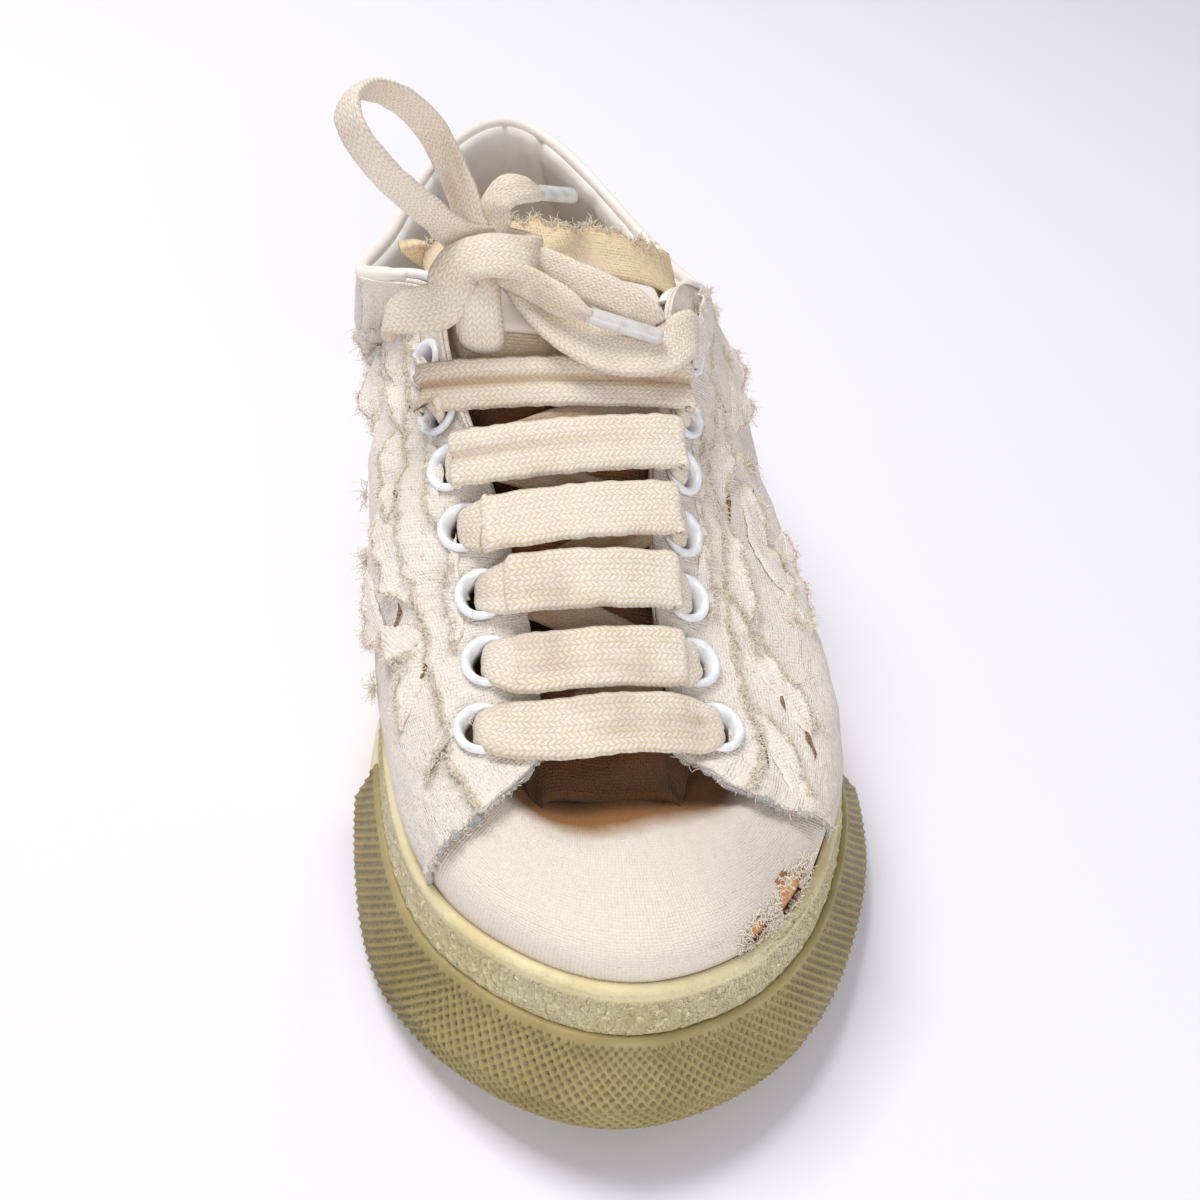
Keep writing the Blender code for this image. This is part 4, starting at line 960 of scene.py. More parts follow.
# The ribbed strip's rubber is darker than the sole's, partly for its dirt and partly as painted shade on the
# strip's front.
RIB_RUBBER = Rubber("ribbed_bumper_rubber", "#AA9A68", "#928253", "#4C3F28", 0.5, 0.05, 0.5)
LEATHER = Hide("cream_leather", "#F6EDE4", "#D9C9B4", 0.5, 0.04, 0.48)
LINING = Hide("white_lining_leather", "#F6F0EA", "#D8CBBD", 0.45, 0.04, 0.5)
FOOTBED = Hide("worn_footbed_felt", "#D2C2B0", "#A8937C", 0.4, 0.12, 0.85)
LACE_COTTON = Braid("braided_cotton_lace", "#F7ECDE", "#D8C19C", "#A37A4C")
ENAMEL = Gloss("white_eyelet_enamel", "#F4F6FA", "#D9DDE3", 0.22, 0.5)
TIP = Gloss("clear_lace_tip", "#EDEBE6", "#CFC8BC", 0.28, 0.3, 0.25)


@dataclass
class Wardrobe:
    """Makes each finish once and puts it on pieces.

    Attributes:
        made: Materials made so far, by name.
    """

    made: dict[str, bpy.types.Material] = field(default_factory=dict)

    def dress(self, piece: bpy.types.Object, finish: Cotton | Rubber | Hide | Braid | Gloss) -> bpy.types.Object:
        """Give a piece its finish and log its faces.

        Args:
            piece: The piece.
            finish: What it is made of.

        Returns:
            The piece.
        """
        if finish.name not in self.made:
            self.made[finish.name] = finish.make()
        piece.data.materials.clear()
        piece.data.materials.append(self.made[finish.name])
        LOG.info("%s: %d faces of %s", piece.name, len(piece.data.polygons), finish.name)
        return piece


WARDROBE = Wardrobe()


# Sole --------------------------------------------------------------------------------------------

@dataclass
class Sole:
    """Rubber cup sole with its tread and the ribbed strip round the toe.

    Attributes:
        columns: Number of columns round the wall.
        levels: Profile of the side wall: share of the lean, inset, height above the ground or, where
            that is None, depth below the wall's top.
        bumper_levels: Profile of the ribbed strip: inset and share of the lean of its face and of its
            back, height above the ground or depth below the wall's top, and depth of the ribs.
        bumper_span: Turns between which the strip lies, round the toe.
        bumper_columns: Number of columns along the strip.
        rib_pitch: Distance between ribs.
        rib_depth: Depth of the grooves between ribs.
        rim: Width of the plain rim round the tread.
        bars: First place, number and pitch of the cross grooves.
        groove: Depth and width of a groove.
        footbed: Rest height, thickness and side gap of the insole.
    """

    columns: int = 760
    levels: tuple[tuple[float, float, float | None, float | None], ...] = (
        (0.00, 4.2, 0.0, None), (0.00, 2.9, 2.2, None), (0.04, 2.6, 6.5, None), (0.60, 2.9, None, 9.0),
        (0.70, 1.0, None, 8.4), (0.94, 0.7, None, 2.3), (0.96, 0.2, None, 1.7), (0.98, 0.05, None, 0.8),
        (1.00, 0.5, None, 0.1), (1.00, 1.4, None, 0.0),
    )
    bumper_levels: tuple[tuple[float, float, float, float, float | None, float | None, float], ...] = (
        (1.6, 0.00, 2.3, 0.00, 1.2, None, 0.0), (0.0, 0.00, 2.3, 0.00, 3.4, None, 1.0),
        (0.0, 0.02, 2.3, 0.10, 8.0, None, 1.0), (0.2, 0.50, 2.5, 0.47, None, 11.4, 1.0),
        (0.1, 0.56, 2.5, 0.53, None, 10.2, 1.0), (1.1, 0.62, 2.4, 0.62, None, 8.4, 0.0),
    )
    bumper_span: tuple[float, float] = (20.55, 27.35)
    bumper_columns: int = 1000
    rib_pitch: float = 2.1
    rib_depth: float = 0.6
    rim: float = 9.0
    bars: tuple[tuple[float, int, float], ...] = ((-94.6, 6, 12.6), (56.4, 5, 12.6))
    groove: tuple[float, float] = (1.4, 4.0)
    footbed: tuple[float, float, float] = (0.7, 3.2, 0.5)

    def wall_point(self, turn: np.ndarray, lean: float, inset: float, above: float | None,
                   below: float | None) -> np.ndarray:
        """Work out the wall's points at one level of its profile.

        Args:
            turn: Places round the outline.
            lean: Share of the wall's lean.
            inset: Distance inside the outline.
            above: Height above the ground, where `below` is None.
            below: Depth below the wall's top, or None.

        Returns:
            The points.
        """
        row = LAST.columns(turn)
        plan = LAST.outline(turn, row["wall_lean"] * lean + inset)[0]
        height = LAST.ground(plan[:, 1]) + above if below is None else row["wall_top"] - below
        return np.column_stack([plan, height])

    def wall(self) -> bpy.types.Object:
        """Make the cup: rim of the underside, side wall with rough band and bead, lip and floor."""
        turn = LAST.even_turns(0.0, RING, self.columns + 1)
        sheet = np.array([self.wall_point(turn, *level) for level in self.levels])
        where = np.array([0, 0.4, 0.7, 1, 1.3, 1.7, 2, 2.4, 2.7, 2.9, 3, 3.15, 3.5, 3.8,
                          4, *np.linspace(4.1, 4.9, 9), 5, 5.25, 5.6, 5.85, 6, 6.25, 6.5, 6.75, 7,
                          7.25, 7.5, 7.75, 8, 8.5, 9])
        wall = between(sheet, where)
        wall[1:-1] = wall[1:-1] * 0.5 + wall[:-2] * 0.25 + wall[2:] * 0.25
        outward = LAST.outline(turn, 0.0)[1]
        outward = np.column_stack([outward, np.full(len(turn), 0.15)])
        walked = walk(wall[20])
        band = (smooth(3.85, 4.15, where) * (1 - smooth(4.85, 5.1, where)))[:, None]
        rough = Grain(11).at(walked[None] / 0.95, wall[..., 2] / 0.8, 2)
        wave = Grain(12).at(walked[None] / 9.0, wall[..., 2] / 7.0, 2)
        bead = np.exp(-((where - 6.8) / 1.1) ** 2)[:, None]
        worn = np.exp(-((turn - 22.72) / 0.30) ** 2)[None]
        lift = band * (0.10 + 0.25 * rough) + 0.10 * wave - bead * worn * (0.95 + 0.45 * rough)
        wall = wall + outward[None] * lift[..., None]
        inner = LAST.outline(turn, LAST.wall_inside(turn))[0]
        seat = np.column_stack([inner, LAST.floor_height(inner[:, 1])])
        lip = np.column_stack([inner, LAST.columns(turn)["wall_top"]])
        floor = []
        for part in (0.7, 0.35, 0.0):
            plan = SOLE_MIDDLE + (inner - SOLE_MIDDLE) * part
            floor.append(np.column_stack([plan, LAST.floor_height(plan[:, 1])]))
        under = []
        for part in (0.0, 0.35, 0.7):
            plan = SOLE_MIDDLE + (LAST.outline(turn, self.rim)[0] - SOLE_MIDDLE) * part
            under.append(np.column_stack([plan, LAST.ground(plan[:, 1]) + 2.2]))
        edge = LAST.outline(turn, self.rim)[0]
        under.append(np.column_stack([edge, LAST.ground(edge[:, 1]) + 2.2]))
        edge = LAST.outline(turn, self.rim - 0.4)[0]
        under.append(np.column_stack([edge, LAST.ground(edge[:, 1])]))
        points = np.concatenate([np.array(under), wall, lip[None], ((lip + seat) / 2)[None], seat[None],
                                 np.array(floor)], axis=0)
        soil = np.zeros(points.shape[:2])
        first = len(under)
        speck = Grain(13).at(walked[None] / 2.2, wall[..., 2] / 2.0, 3)
        heel = np.exp(-((turn - 23.6) / 1.5) ** 2) + 0.35
        soil[first:first + len(where)] = (band * (0.03 + 0.2 * smooth(0.2, 1.0, speck)) * heel[None]
                                          + (0.08 + 0.35 * worn) * bead
                                          + 0.12 * smooth(0.35, 1.1, speck) * (1 - band)
                                          + 0.35 * (where < 1.5)[:, None])
        soil[:first] = 0.5
        grit = np.zeros(points.shape[:2])
        grit[first:first + len(where)] = np.clip(band + (0.2 + 0.8 * worn) * bead, 0, 1)
        piece = surface("outsole_rubber", points, None, {"soil": np.clip(soil, 0, 1), "grit": grit})
        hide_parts("outsole")
        return WARDROBE.dress(piece, SOLE_RUBBER)

    def tread(self) -> bpy.types.Object:
        """Make the underside inside the rim, with its cross grooves."""
        plan = LAST.outline(np.linspace(0.0, RING, 1200, endpoint=False), self.rim - 0.2)[0]
        lines = np.arange(-124.6, 125.4, 0.7)
        low, high = [], []
        for line in lines:
            near = plan[np.abs(plan[:, 1] - line) < 1.6]
            low.append(near[:, 0].min() if len(near) else np.nan)
            high.append(near[:, 0].max() if len(near) else np.nan)
        low, high = np.array(low), np.array(high)
        keep = ~np.isnan(low) & (high - low > 6.0)
        lines, low, high = lines[keep], low[keep], high[keep]
        share = np.linspace(0.0, 1.0, 28)[None]
        x = low[:, None] * (1 - share) + high[:, None] * share
        depth, width = self.groove
        cut = np.zeros(len(lines))
        for first, count, pitch in self.bars:
            for index in range(count):
                away = np.abs(lines - (first + pitch * index))
                cut = np.maximum(cut, 1 - smooth(width / 2 - 0.4, width / 2 + 0.3, away))
        side = np.minimum(share, 1 - share) * (high - low)[:, None]
        z = LAST.ground(lines)[:, None] + cut[:, None] * depth * smooth(0.8, 2.0, side) + 2.2 * (side < 0.2)
        z = z + 0.12 + 0.08 * Grain(14).at(x / 1.5, np.broadcast_to(lines[:, None], x.shape) / 1.5, 2)
        points = np.stack([x, np.broadcast_to(lines[:, None], x.shape), z], axis=-1)
        piece = surface("tread_plate", points, None, {"soil": np.clip(0.45 + 0.4 * cut[:, None], 0, 1)})
        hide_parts("outsole")
        return WARDROBE.dress(piece, SOLE_RUBBER)

    def bumper(self) -> bpy.types.Object:
        """Make the strip round the toe: oblique ribs at the sides that cross in diamonds in front."""
        turn = LAST.even_turns(*self.bumper_span, self.bumper_columns)
        plan = LAST.outline(turn, 0.0)[0]
        walked = walk(plan)
        walked = walked - np.interp(24.0, turn, walked)
        row = LAST.columns(turn)
        outer, inner = [], []
        for face, face_lean, back, back_lean, above, below, _ in self.bumper_levels:
            for sheet, inset in ((outer, face + row["wall_lean"] * face_lean),
                                 (inner, back + row["wall_lean"] * back_lean)):
                ring = LAST.outline(turn, inset)[0]
                height = LAST.ground(ring[:, 1]) + above if below is None else row["wall_top"] - below
                sheet.append(np.column_stack([ring, height]))
        outer, inner = np.array(outer), np.array(inner)
        where = np.concatenate([np.linspace(0, 1, 4), np.linspace(1, 2, 12)[1:], np.linspace(2, 3, 22)[1:],
                                np.linspace(3, 4, 4)[1:], np.linspace(4, 5, 5)[1:]])
        face = between(outer, where)
        height = face[..., 2] - LAST.ground(face[..., 1])
        ribbed = (smooth(0.2, 0.5, where) * (1 - smooth(4.2, 4.5, where)))[:, None]
        slant = 0.85 + 0.35 * np.exp(-(walked / 50.0) ** 2)[None]
        first = 1 - np.abs(np.sin(math.pi * (walked[None] + height * slant) / self.rib_pitch))
        second = 1 - np.abs(np.sin(math.pi * (walked[None] - height * slant) / self.rib_pitch))
        first = first * smooth(-52.0, -34.0, walked)[None]
        second = second * (1 - smooth(34.0, 52.0, walked))[None]
        cut = smooth(0.25, 0.85, 1 - np.maximum(first, second)) * ribbed
        line = 0.2 * smooth(4.4, 4.7, where)[:, None]
        outward = LAST.outline(turn, 0.0)[1]
        outward = np.column_stack([outward, np.zeros(len(turn))])
        wear = 1 - 0.4 * smooth(0.2, 1.0, Grain(15).at(walked[None] / 14.0, height / 5.0, 3))
        deep = self.rib_depth * (1 - 0.45 * smooth(30.0, 70.0, np.abs(walked)))
        face = face + outward[None] * (line - cut * wear * deep)[..., None]
        low_edge = 1 - smooth(1.0, 5.0, height)
        # Darker in the grooves between ribs, as dirt and painted shade, and darker towards the bottom.
        soil = np.clip(0.6 * cut + 0.35 * low_edge, 0, 1)
        piece = shell("toe_bumper_ribs", face, inner, False, None, {"soil": soil})
        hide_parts("toe_bumper")
        return WARDROBE.dress(piece, RIB_RUBBER)

    def insole(self) -> bpy.types.Object:
        """Make the worn footbed, dished by the foot."""
        rest, thickness, gap = self.footbed
        turn = LAST.even_turns(0.0, RING, 241)
        edge = LAST.outline(turn, LAST.wall_inside(turn) + CONTACT_GAP + UPPER_WALL + gap)[0]
        rings = []
        for part in (0.0, 0.5, 1.0):
            plan = SOLE_MIDDLE + (edge - SOLE_MIDDLE) * part
            rings.append(np.column_stack([plan, LAST.floor_height(plan[:, 1]) + rest]))
        for part in (1.0, 0.985, 0.96, *np.linspace(0.93, 0.0, 26)):
            plan = SOLE_MIDDLE + (edge - SOLE_MIDDLE) * part
            drop = 0.8 * (part > 0.99) + 0.25 * (0.97 < part < 0.99)
            dish = 0.7 * np.exp(-(((plan[:, 0] + 5) / 22) ** 2 + ((plan[:, 1] - 92) / 26) ** 2))
            wave = 0.25 * Grain(21).at(plan[:, 0] / 16, plan[:, 1] / 16, 2)
            height = (LAST.floor_height(plan[:, 1]) + rest + thickness - drop - dish * (part < 0.95)
                      + wave * (part < 0.95))
            rings.append(np.column_stack([plan, height]))
        points = np.array(rings)
        rub = np.exp(-(((points[..., 0] + 5) / 20) ** 2 + ((points[..., 1] - 92) / 28) ** 2))
        piece = surface("insole_felt", points, points[..., :2], {"soil": 0.6 * rub})
        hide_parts("insole")
        return WARDROBE.dress(piece, FOOTBED)

    def build(self) -> list[bpy.types.Object]:
        """Make every part of the sole."""
        return [self.wall(), self.tread(), self.bumper(), self.insole()]


# Upper -------------------------------------------------------------------------------------------

@dataclass(frozen=True)
class Site:
    """Place of one eyelet.

    Attributes:
        name: Side and number, counted from the toe.
        centre: Middle of the hole on the quarter's face.
        normal: Direction away from the cloth there.
    """

    name: str
    centre: np.ndarray
    normal: np.ndarray


@dataclass
class Eyelets:
    """Seven pairs of enamelled rings.

    Attributes:
        rows: For each pair, its y and the distances of its rings from the throat's edge.
        profile: Radius and height above the quarter of the ring's section.
        places: Where the rings are, once they have been found.
    """

    rows: tuple[tuple[float, float, float], ...] = (
        (-77.0, 13.2, 9.6), (-64.3, 8.8, 6.8), (-51.6, 7.6, 6.8), (-38.9, 8.4, 6.8), (-26.2, 8.8, 7.4),
        (-13.6, 10.0, 7.8), (-1.0, 11.8, 7.4),
    )
    profile: tuple[tuple[float, float], ...] = (
        (3.0, -3.0), (3.3, -3.0), (3.5, 0.6), (4.6, 0.6), (4.95, 0.75), (5.15, 1.05), (5.1, 1.4),
        (4.85, 1.75), (4.4, 1.95), (3.95, 1.85), (3.6, 1.5), (3.35, 0.9), (3.1, -0.5),
    )
    places: list[Site] = field(default_factory=list)

    def find(self) -> None:
        """Work out each ring's place on the quarters' face."""
        rises = np.linspace(0.2, 1.0, 161)
        for number, side in enumerate(Side):
            turns = np.linspace(*side.value, EDGE_SAMPLES)
            ribs = LAST.plain(turns[:, None], rises[None], QUARTER_STEP)
            steps = np.linalg.norm(np.diff(ribs, axis=1), axis=2)
            to_edge = steps[:, ::-1].cumsum(axis=1)[:, ::-1]
            for index, row in enumerate(self.rows):
                marks = np.array([np.interp(-row[number + 1], -left, rises[:-1]) for left in to_edge])
                points = LAST.plain(turns, marks, QUARTER_STEP)
                best = int(np.abs(points[:, 1] - row[0]).argmin())
                normal = LAST.frame_at(turns[best], marks[best])[2]
                self.places.append(Site(f"{side.label}_{index + 1}", points[best], normal))

    def site(self, side: Side, number: int) -> Site:
        """Return the place of one ring, counted from the toe."""
        return next(site for site in self.places if site.name == f"{side.label}_{number}")

    def rings(self) -> bpy.types.Object:
        """Make the turned rings as one piece."""
        work = bmesh.new()
        for site in self.places:
            verts = [work.verts.new(Vector((radius, 0.0, height)) * MM) for radius, height in self.profile]
            edges = [work.edges.new((low, high)) for low, high in zip(verts, verts[1:] + verts[:1])]
            bmesh.ops.spin(work, geom=verts + edges, cent=Vector(), axis=Vector((0.0, 0.0, 1.0)),
                            angle=2 * math.pi, steps=40, use_merge=True)
            ring = [vert for vert in work.verts if not vert.tag]
            turn_to = Vector((0.0, 0.0, 1.0)).rotation_difference(Vector(site.normal))
            bmesh.ops.rotate(work, cent=Vector(), matrix=turn_to.to_matrix(), verts=ring)
            bmesh.ops.translate(work, vec=Vector(place(site.centre + site.normal * 0.6)), verts=ring)
            for vert in ring:
                vert.tag = True
        bmesh.ops.recalc_face_normals(work, faces=work.faces)
        mesh = bpy.data.meshes.new("eyelet_rings")
        work.to_mesh(mesh)
        work.free()
        piece = show("eyelet_rings", mesh)
        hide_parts(*[f"eyelet_{site.name}" for site in self.places])
        return WARDROBE.dress(piece, ENAMEL)


def thicken(piece: bpy.types.Object, thickness: float) -> None:
    """Give a sheet of cloth its thickness inwards."""
    wall = piece.modifiers.new("cloth thickness", "SOLIDIFY")
    wall.thickness = thickness * MM
    wall.offset = -1.0


def crossing(side: Side, y: float, lift: float) -> np.ndarray:
    """Return the point over the throat's edge on one side that is nearest to `y`."""
    turns = np.linspace(*side.value, EDGE_SAMPLES)
    nearest = turns[np.abs(LAST.columns(turns)["open_y"] - y).argmin()]
    return LAST.plain(nearest, 1.0, lift)


def pierced(name: str, points: np.ndarray, cloth: np.ndarray, marks: dict[str, np.ndarray], thickness: float,
            holes: list[tuple[np.ndarray, float]]) -> bpy.types.Object:
    """Make a cloth layer with round holes, given its thickness inwards.

    Args:
        name: Name of the piece.
        points: Outer face as (rows, columns, 3).
        cloth: Place on the flat cloth for each vertex.
        marks: Values by attribute name.
        thickness: Thickness of the cloth.
        holes: Centre and radius of each hole.

    Returns:
        The new object.
    """
    piece = surface(name, points, cloth, marks)
    work = bmesh.new()
    work.from_mesh(piece.data)
    for centre, radius in holes:
        middle = Vector(place(centre))
        near = [face for face in work.faces if (face.calc_center_median() - middle).length < radius * MM]
        bmesh.ops.delete(work, geom=near, context="FACES")
    work.to_mesh(piece.data)
    work.free()
    thicken(piece, thickness)
    return piece


def flat_cloth(points: np.ndarray) -> np.ndarray:
    """Return the lengths walked along the rows and columns of a sheet, as its place on flat cloth."""
    across = np.linalg.norm(np.diff(points, axis=1), axis=2).mean(axis=0)
    down = np.linalg.norm(np.diff(points, axis=0), axis=2).mean(axis=1)
    u = np.concatenate([[0.0], np.cumsum(across)])
    v = np.concatenate([[0.0], np.cumsum(down)])
    return np.stack(np.broadcast_arrays(u[None], v[:, None]), axis=-1)


@dataclass
class Upper:
    """Canvas vamp and quarters with their frayed layers.

    Attributes:
        eyelets: The rings, whose holes go through the layers.
        medial_edge: Turns of the inner quarter's front edge, at the rubber and at the throat.
        lateral_edge: Turns of the outer quarter's front edge.
        hole: Turn and rise of the middle of the vamp's worn holes.
        worn: For each hole, its place from that middle and its half sizes, along and up the vamp.
        torn: Points, outward directions and normals along each torn edge, for its loose threads.
    """

    eyelets: Eyelets
    medial_edge: tuple[float, float] = (1.95, 1.45)
    lateral_edge: tuple[float, float] = (21.85, 22.70)
    hole: tuple[float, float] = (22.66, 0.09)
    worn: tuple[tuple[float, ...], ...] = ((-0.6, 0.2, 6.4, 4.4), (10.6, 0.2, 3.6, 2.8),
                                           (6.2, -0.6, 1.6, 1.2))
    torn: dict[str, tuple[np.ndarray, np.ndarray, np.ndarray]] = field(default_factory=dict)

    def edge_turn(self, side: Side, rise: np.ndarray) -> np.ndarray:
        """Return the turn of a quarter's front edge at each rise."""
        first, last = self.medial_edge if side is Side.MEDIAL else self.lateral_edge
        return first + (last - first) * np.asarray(rise)

    def edge_lift(self, side: Side, turn: np.ndarray, rise: np.ndarray) -> np.ndarray:
        """Return how far a quarter's front edge stands off the vamp, which fades backwards."""
        away = np.abs(turn - self.edge_turn(side, rise)) * 18.0
        wave = Grain(37 if side is Side.MEDIAL else 38).at(np.asarray(rise) * 9, 0 * rise, 2)
        height = (1.5 + 0.7 * wave) * smooth(0.12, 0.45, rise)
        return height * np.exp(-(away / 5.0) ** 2)

    def vamp(self) -> bpy.types.Object:
        """Make the toe's cloth, worn through at its outer front corner."""
        rise = np.linspace(-0.04, 1.0, 90)[:, None]
        share = np.linspace(0.0, 1.0, 205)[None]
        clipped = np.clip(rise, 0.0, 1.0)
        first = self.edge_turn(Side.LATERAL, clipped) - 0.6
        last = self.edge_turn(Side.MEDIAL, clipped) + RING + 0.6
        turn = first + (last - first) * share
        clipped = np.broadcast_to(clipped, turn.shape)
        points = LAST.skin(turn, clipped, 0.0)
        points[..., 2] += np.minimum(np.broadcast_to(rise, turn.shape), 0.0) * SKIRT
        wrinkle = Grain(31).at(points[..., 0] / 9, points[..., 1] / 6, 2)
        points[..., 2] += 0.18 * wrinkle * smooth(0.3, 0.9, clipped)
        sag = clipped + 0.025 * Grain(36).at(points[..., 0] / 14, 0 * clipped, 2)
        points = points - THROAT_NORMAL * (8.0 * smooth(0.66, 0.90, sag))[..., None]
        smudge = LAST.bare(22.75, 0.33)
        away = np.linalg.norm((points - smudge) / np.array([13.0, 20.0, 14.0]), axis=-1)
        foot = 1 - smooth(0.0, 0.10, clipped)
        # Painted shade: the fold under the first lace row is coloured deep brown as if in shadow.
        fold = smooth(0.68, 0.82, sag)
        soil = 0.6 * np.exp(-away**2 * 1.2) + 0.12 * foot
        cloth = flat_cloth(points)
        piece = surface("vamp_canvas", points, cloth,
                        {"soil": np.clip(soil, 0, 1), "tint": 1.4 * fold - 0.25})
        middle = LAST.skin(*self.hole, 0.0)
        around, upward, _ = LAST.frame_at(*self.hole)
        around, upward = unit(around), unit(upward)
        work = bmesh.new()
        work.from_mesh(piece.data)
        jag = Grain(32)
        for number, (side_mm, up_mm, wide, tall) in enumerate(self.worn):
            centre = middle + around * side_mm + upward * up_mm
            worn = []
            for face in work.faces:
                spot = np.array(face.calc_center_median()) / MM + MIDDLE - centre
                if np.abs(spot).sum() > 14:
                    continue
                along, over = float(spot @ around) / wide, float(spot @ upward) / tall
                ragged = 0.3 * float(jag.at(along * 3 + 9 * number, over * 3, 2))
                if along**2 + over**2 < (1 + ragged) ** 2:
                    worn.append(face)
            bmesh.ops.delete(work, geom=worn, context="FACES")
        work.to_mesh(piece.data)
        work.free()
        thicken(piece, 0.8)
        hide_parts("upper")
        return WARDROBE.dress(piece, VAMP_CANVAS)

    def backing(self) -> bpy.types.Object:
        """Make the brown layer beneath the toe's cloth."""
        rise = np.linspace(0.0, 0.6, 24)[:, None]
        turn = np.linspace(21.7, 26.1, 60)[None]
        outer = LAST.skin(turn, np.broadcast_to(rise, (24, 60)), -0.9)
        inner = LAST.skin(turn, np.broadcast_to(rise, (24, 60)), -1.6)
        mottle = Grain(33).at(outer[..., 0] / 2.2, outer[..., 1] / 2.2, 2)
        piece = shell("toe_backing", outer, inner, False, outer[..., :2],
                      {"tint": np.clip(0.4 + 0.5 * mottle, 0, 1), "soil": np.clip(0.5 * mottle, 0, 1)})
        return WARDROBE.dress(piece, BACKING)

    def quarters(self) -> bpy.types.Object:
        """Make the side panels, one layer of cloth round the heel from front edge to front edge."""
        rise = np.linspace(-0.03, 1.0, 46)[:, None]
        clipped = np.clip(rise, 0.0, 1.0)
        first = self.edge_turn(Side.MEDIAL, clipped)
        last = self.edge_turn(Side.LATERAL, clipped)
        even = LAST.even_turns(1.6, 22.4, 470)
        share = (even - even[0]) / (even[-1] - even[0])
        turn = first + (last - first) * share[None]
        clipped = np.broadcast_to(clipped, turn.shape)
        lift = sum(self.edge_lift(side, turn, clipped) for side in Side)
        points = LAST.skin(turn, clipped, QUARTER_STEP * smooth(0.0, 0.07, clipped) + lift)
        points[..., 2] += np.minimum(np.broadcast_to(rise, turn.shape), 0.0) * SKIRT
        cloth = flat_cloth(points)
        pucker = Grain(34).at(cloth[..., 0] / 7, cloth[..., 1] / 9, 2)
        normal = LAST.frame_at(turn, clipped)[2]
        points = points + normal * (0.35 * pucker * smooth(0.05, 0.2, clipped)
                                    * (1 - smooth(0.85, 1.0, clipped)))[..., None]
        soil = 0.2 * (1 - smooth(0.0, 0.12, clipped))
        holes = [(site.centre, HOLE_RADIUS) for site in self.eyelets.places]
        piece = pierced("quarter_canvas", points, cloth,
                        {"soil": soil, "tint": 0.1 + 0.15 * pucker}, 0.9, holes)
        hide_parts("upper")
        return WARDROBE.dress(piece, SIDE_CANVAS)

    def lining(self) -> bpy.types.Object:
        """Make the padded white lining, creased at the heel."""
        turn = LAST.even_turns(6.9, 17.3, 250)[None]
        rise = np.linspace(0.0, 1.0, 30)[:, None]
        rise = np.broadcast_to(rise, (30, 250))
        back = smooth(7.2, 8.6, turn) * (1 - smooth(15.6, 17.0, turn))
        heel = np.exp(-((turn - 12) / 2.6) ** 2)
        crease = np.zeros(rise.shape)
        for crease_turn, lean, depth in ((10.2, 0.5, 0.9), (10.9, -0.2, 1.1), (11.7, 0.3, 0.8),
                                         (12.6, -0.3, 1.1), (13.4, 0.2, 1.0), (9.3, 0.9, 0.7)):
            crease += (depth * np.exp(-((turn - crease_turn - lean * (rise - 0.6)) / 0.09) ** 2)
                       * smooth(0.2, 0.5, rise))
        pad = 2.2 * back * smooth(0.35, 0.75, rise) * (1 - smooth(0.93, 1.0, rise) * 0.7)
        ripple = 0.25 * Grain(35).at(turn * 3, rise * 7, 2)
        inner = LAST.skin(turn, rise, -(UPPER_WALL + pad + (ripple - crease * heel) * back))
        outer = LAST.skin(turn, rise, 0.1)
        points = shell("collar_lining", outer, inner, False, flat_cloth(outer),
                       {"soil": np.clip(0.25 * (1 - rise), 0, 1)})
        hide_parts("upper")
        return WARDROBE.dress(points, LINING)

    def binding(self) -> bpy.types.Object:
        """Make the leather binding along the collar's edge."""
        turn = LAST.even_turns(7.35, 16.75, 260)
        path = LAST.skin(turn, 1.0, -0.1)
        normal = LAST.frame_at(turn, 1.0)[2]
        puff = 1.75 + 0.12 * Grain(36).at(turn * 5, turn * 0, 2)
        ends = smooth(7.35, 7.6, turn) * (1 - smooth(16.5, 16.75, turn))
        piece = tube("collar_binding", path, puff * (0.45 + 0.55 * ends), 16, 0.92, normal)
        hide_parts("upper")
        return WARDROBE.dress(piece, LEATHER)

    def heel_counter(self) -> bpy.types.Object:
        """Make the leather overlay round the heel."""
        turn = LAST.even_turns(10.2, 13.8, 120)
        middle = np.cos((turn - 12.0) * math.pi / 4.0) ** 2
        top = 0.52 + (0.88 - 0.52) * middle
        share = np.linspace(0.0, 1.0, 30)[:, None]
        rise = 0.09 + (top[None] - 0.09) * share
        edge = np.minimum(np.minimum(share, 1 - share) * 30, 1.0)
        outer = LAST.skin(turn[None], rise, QUARTER_STEP + 0.9 + 0.8 * edge ** 0.5)
        inner = LAST.skin(turn[None], rise, QUARTER_STEP + 0.4)
        piece = shell("heel_counter_leather", outer, inner, False, flat_cloth(outer),
                      {"soil": 0.5 * (1 - smooth(0.1, 0.3, rise))})
        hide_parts("heel_counter")
        return WARDROBE.dress(piece, LEATHER)

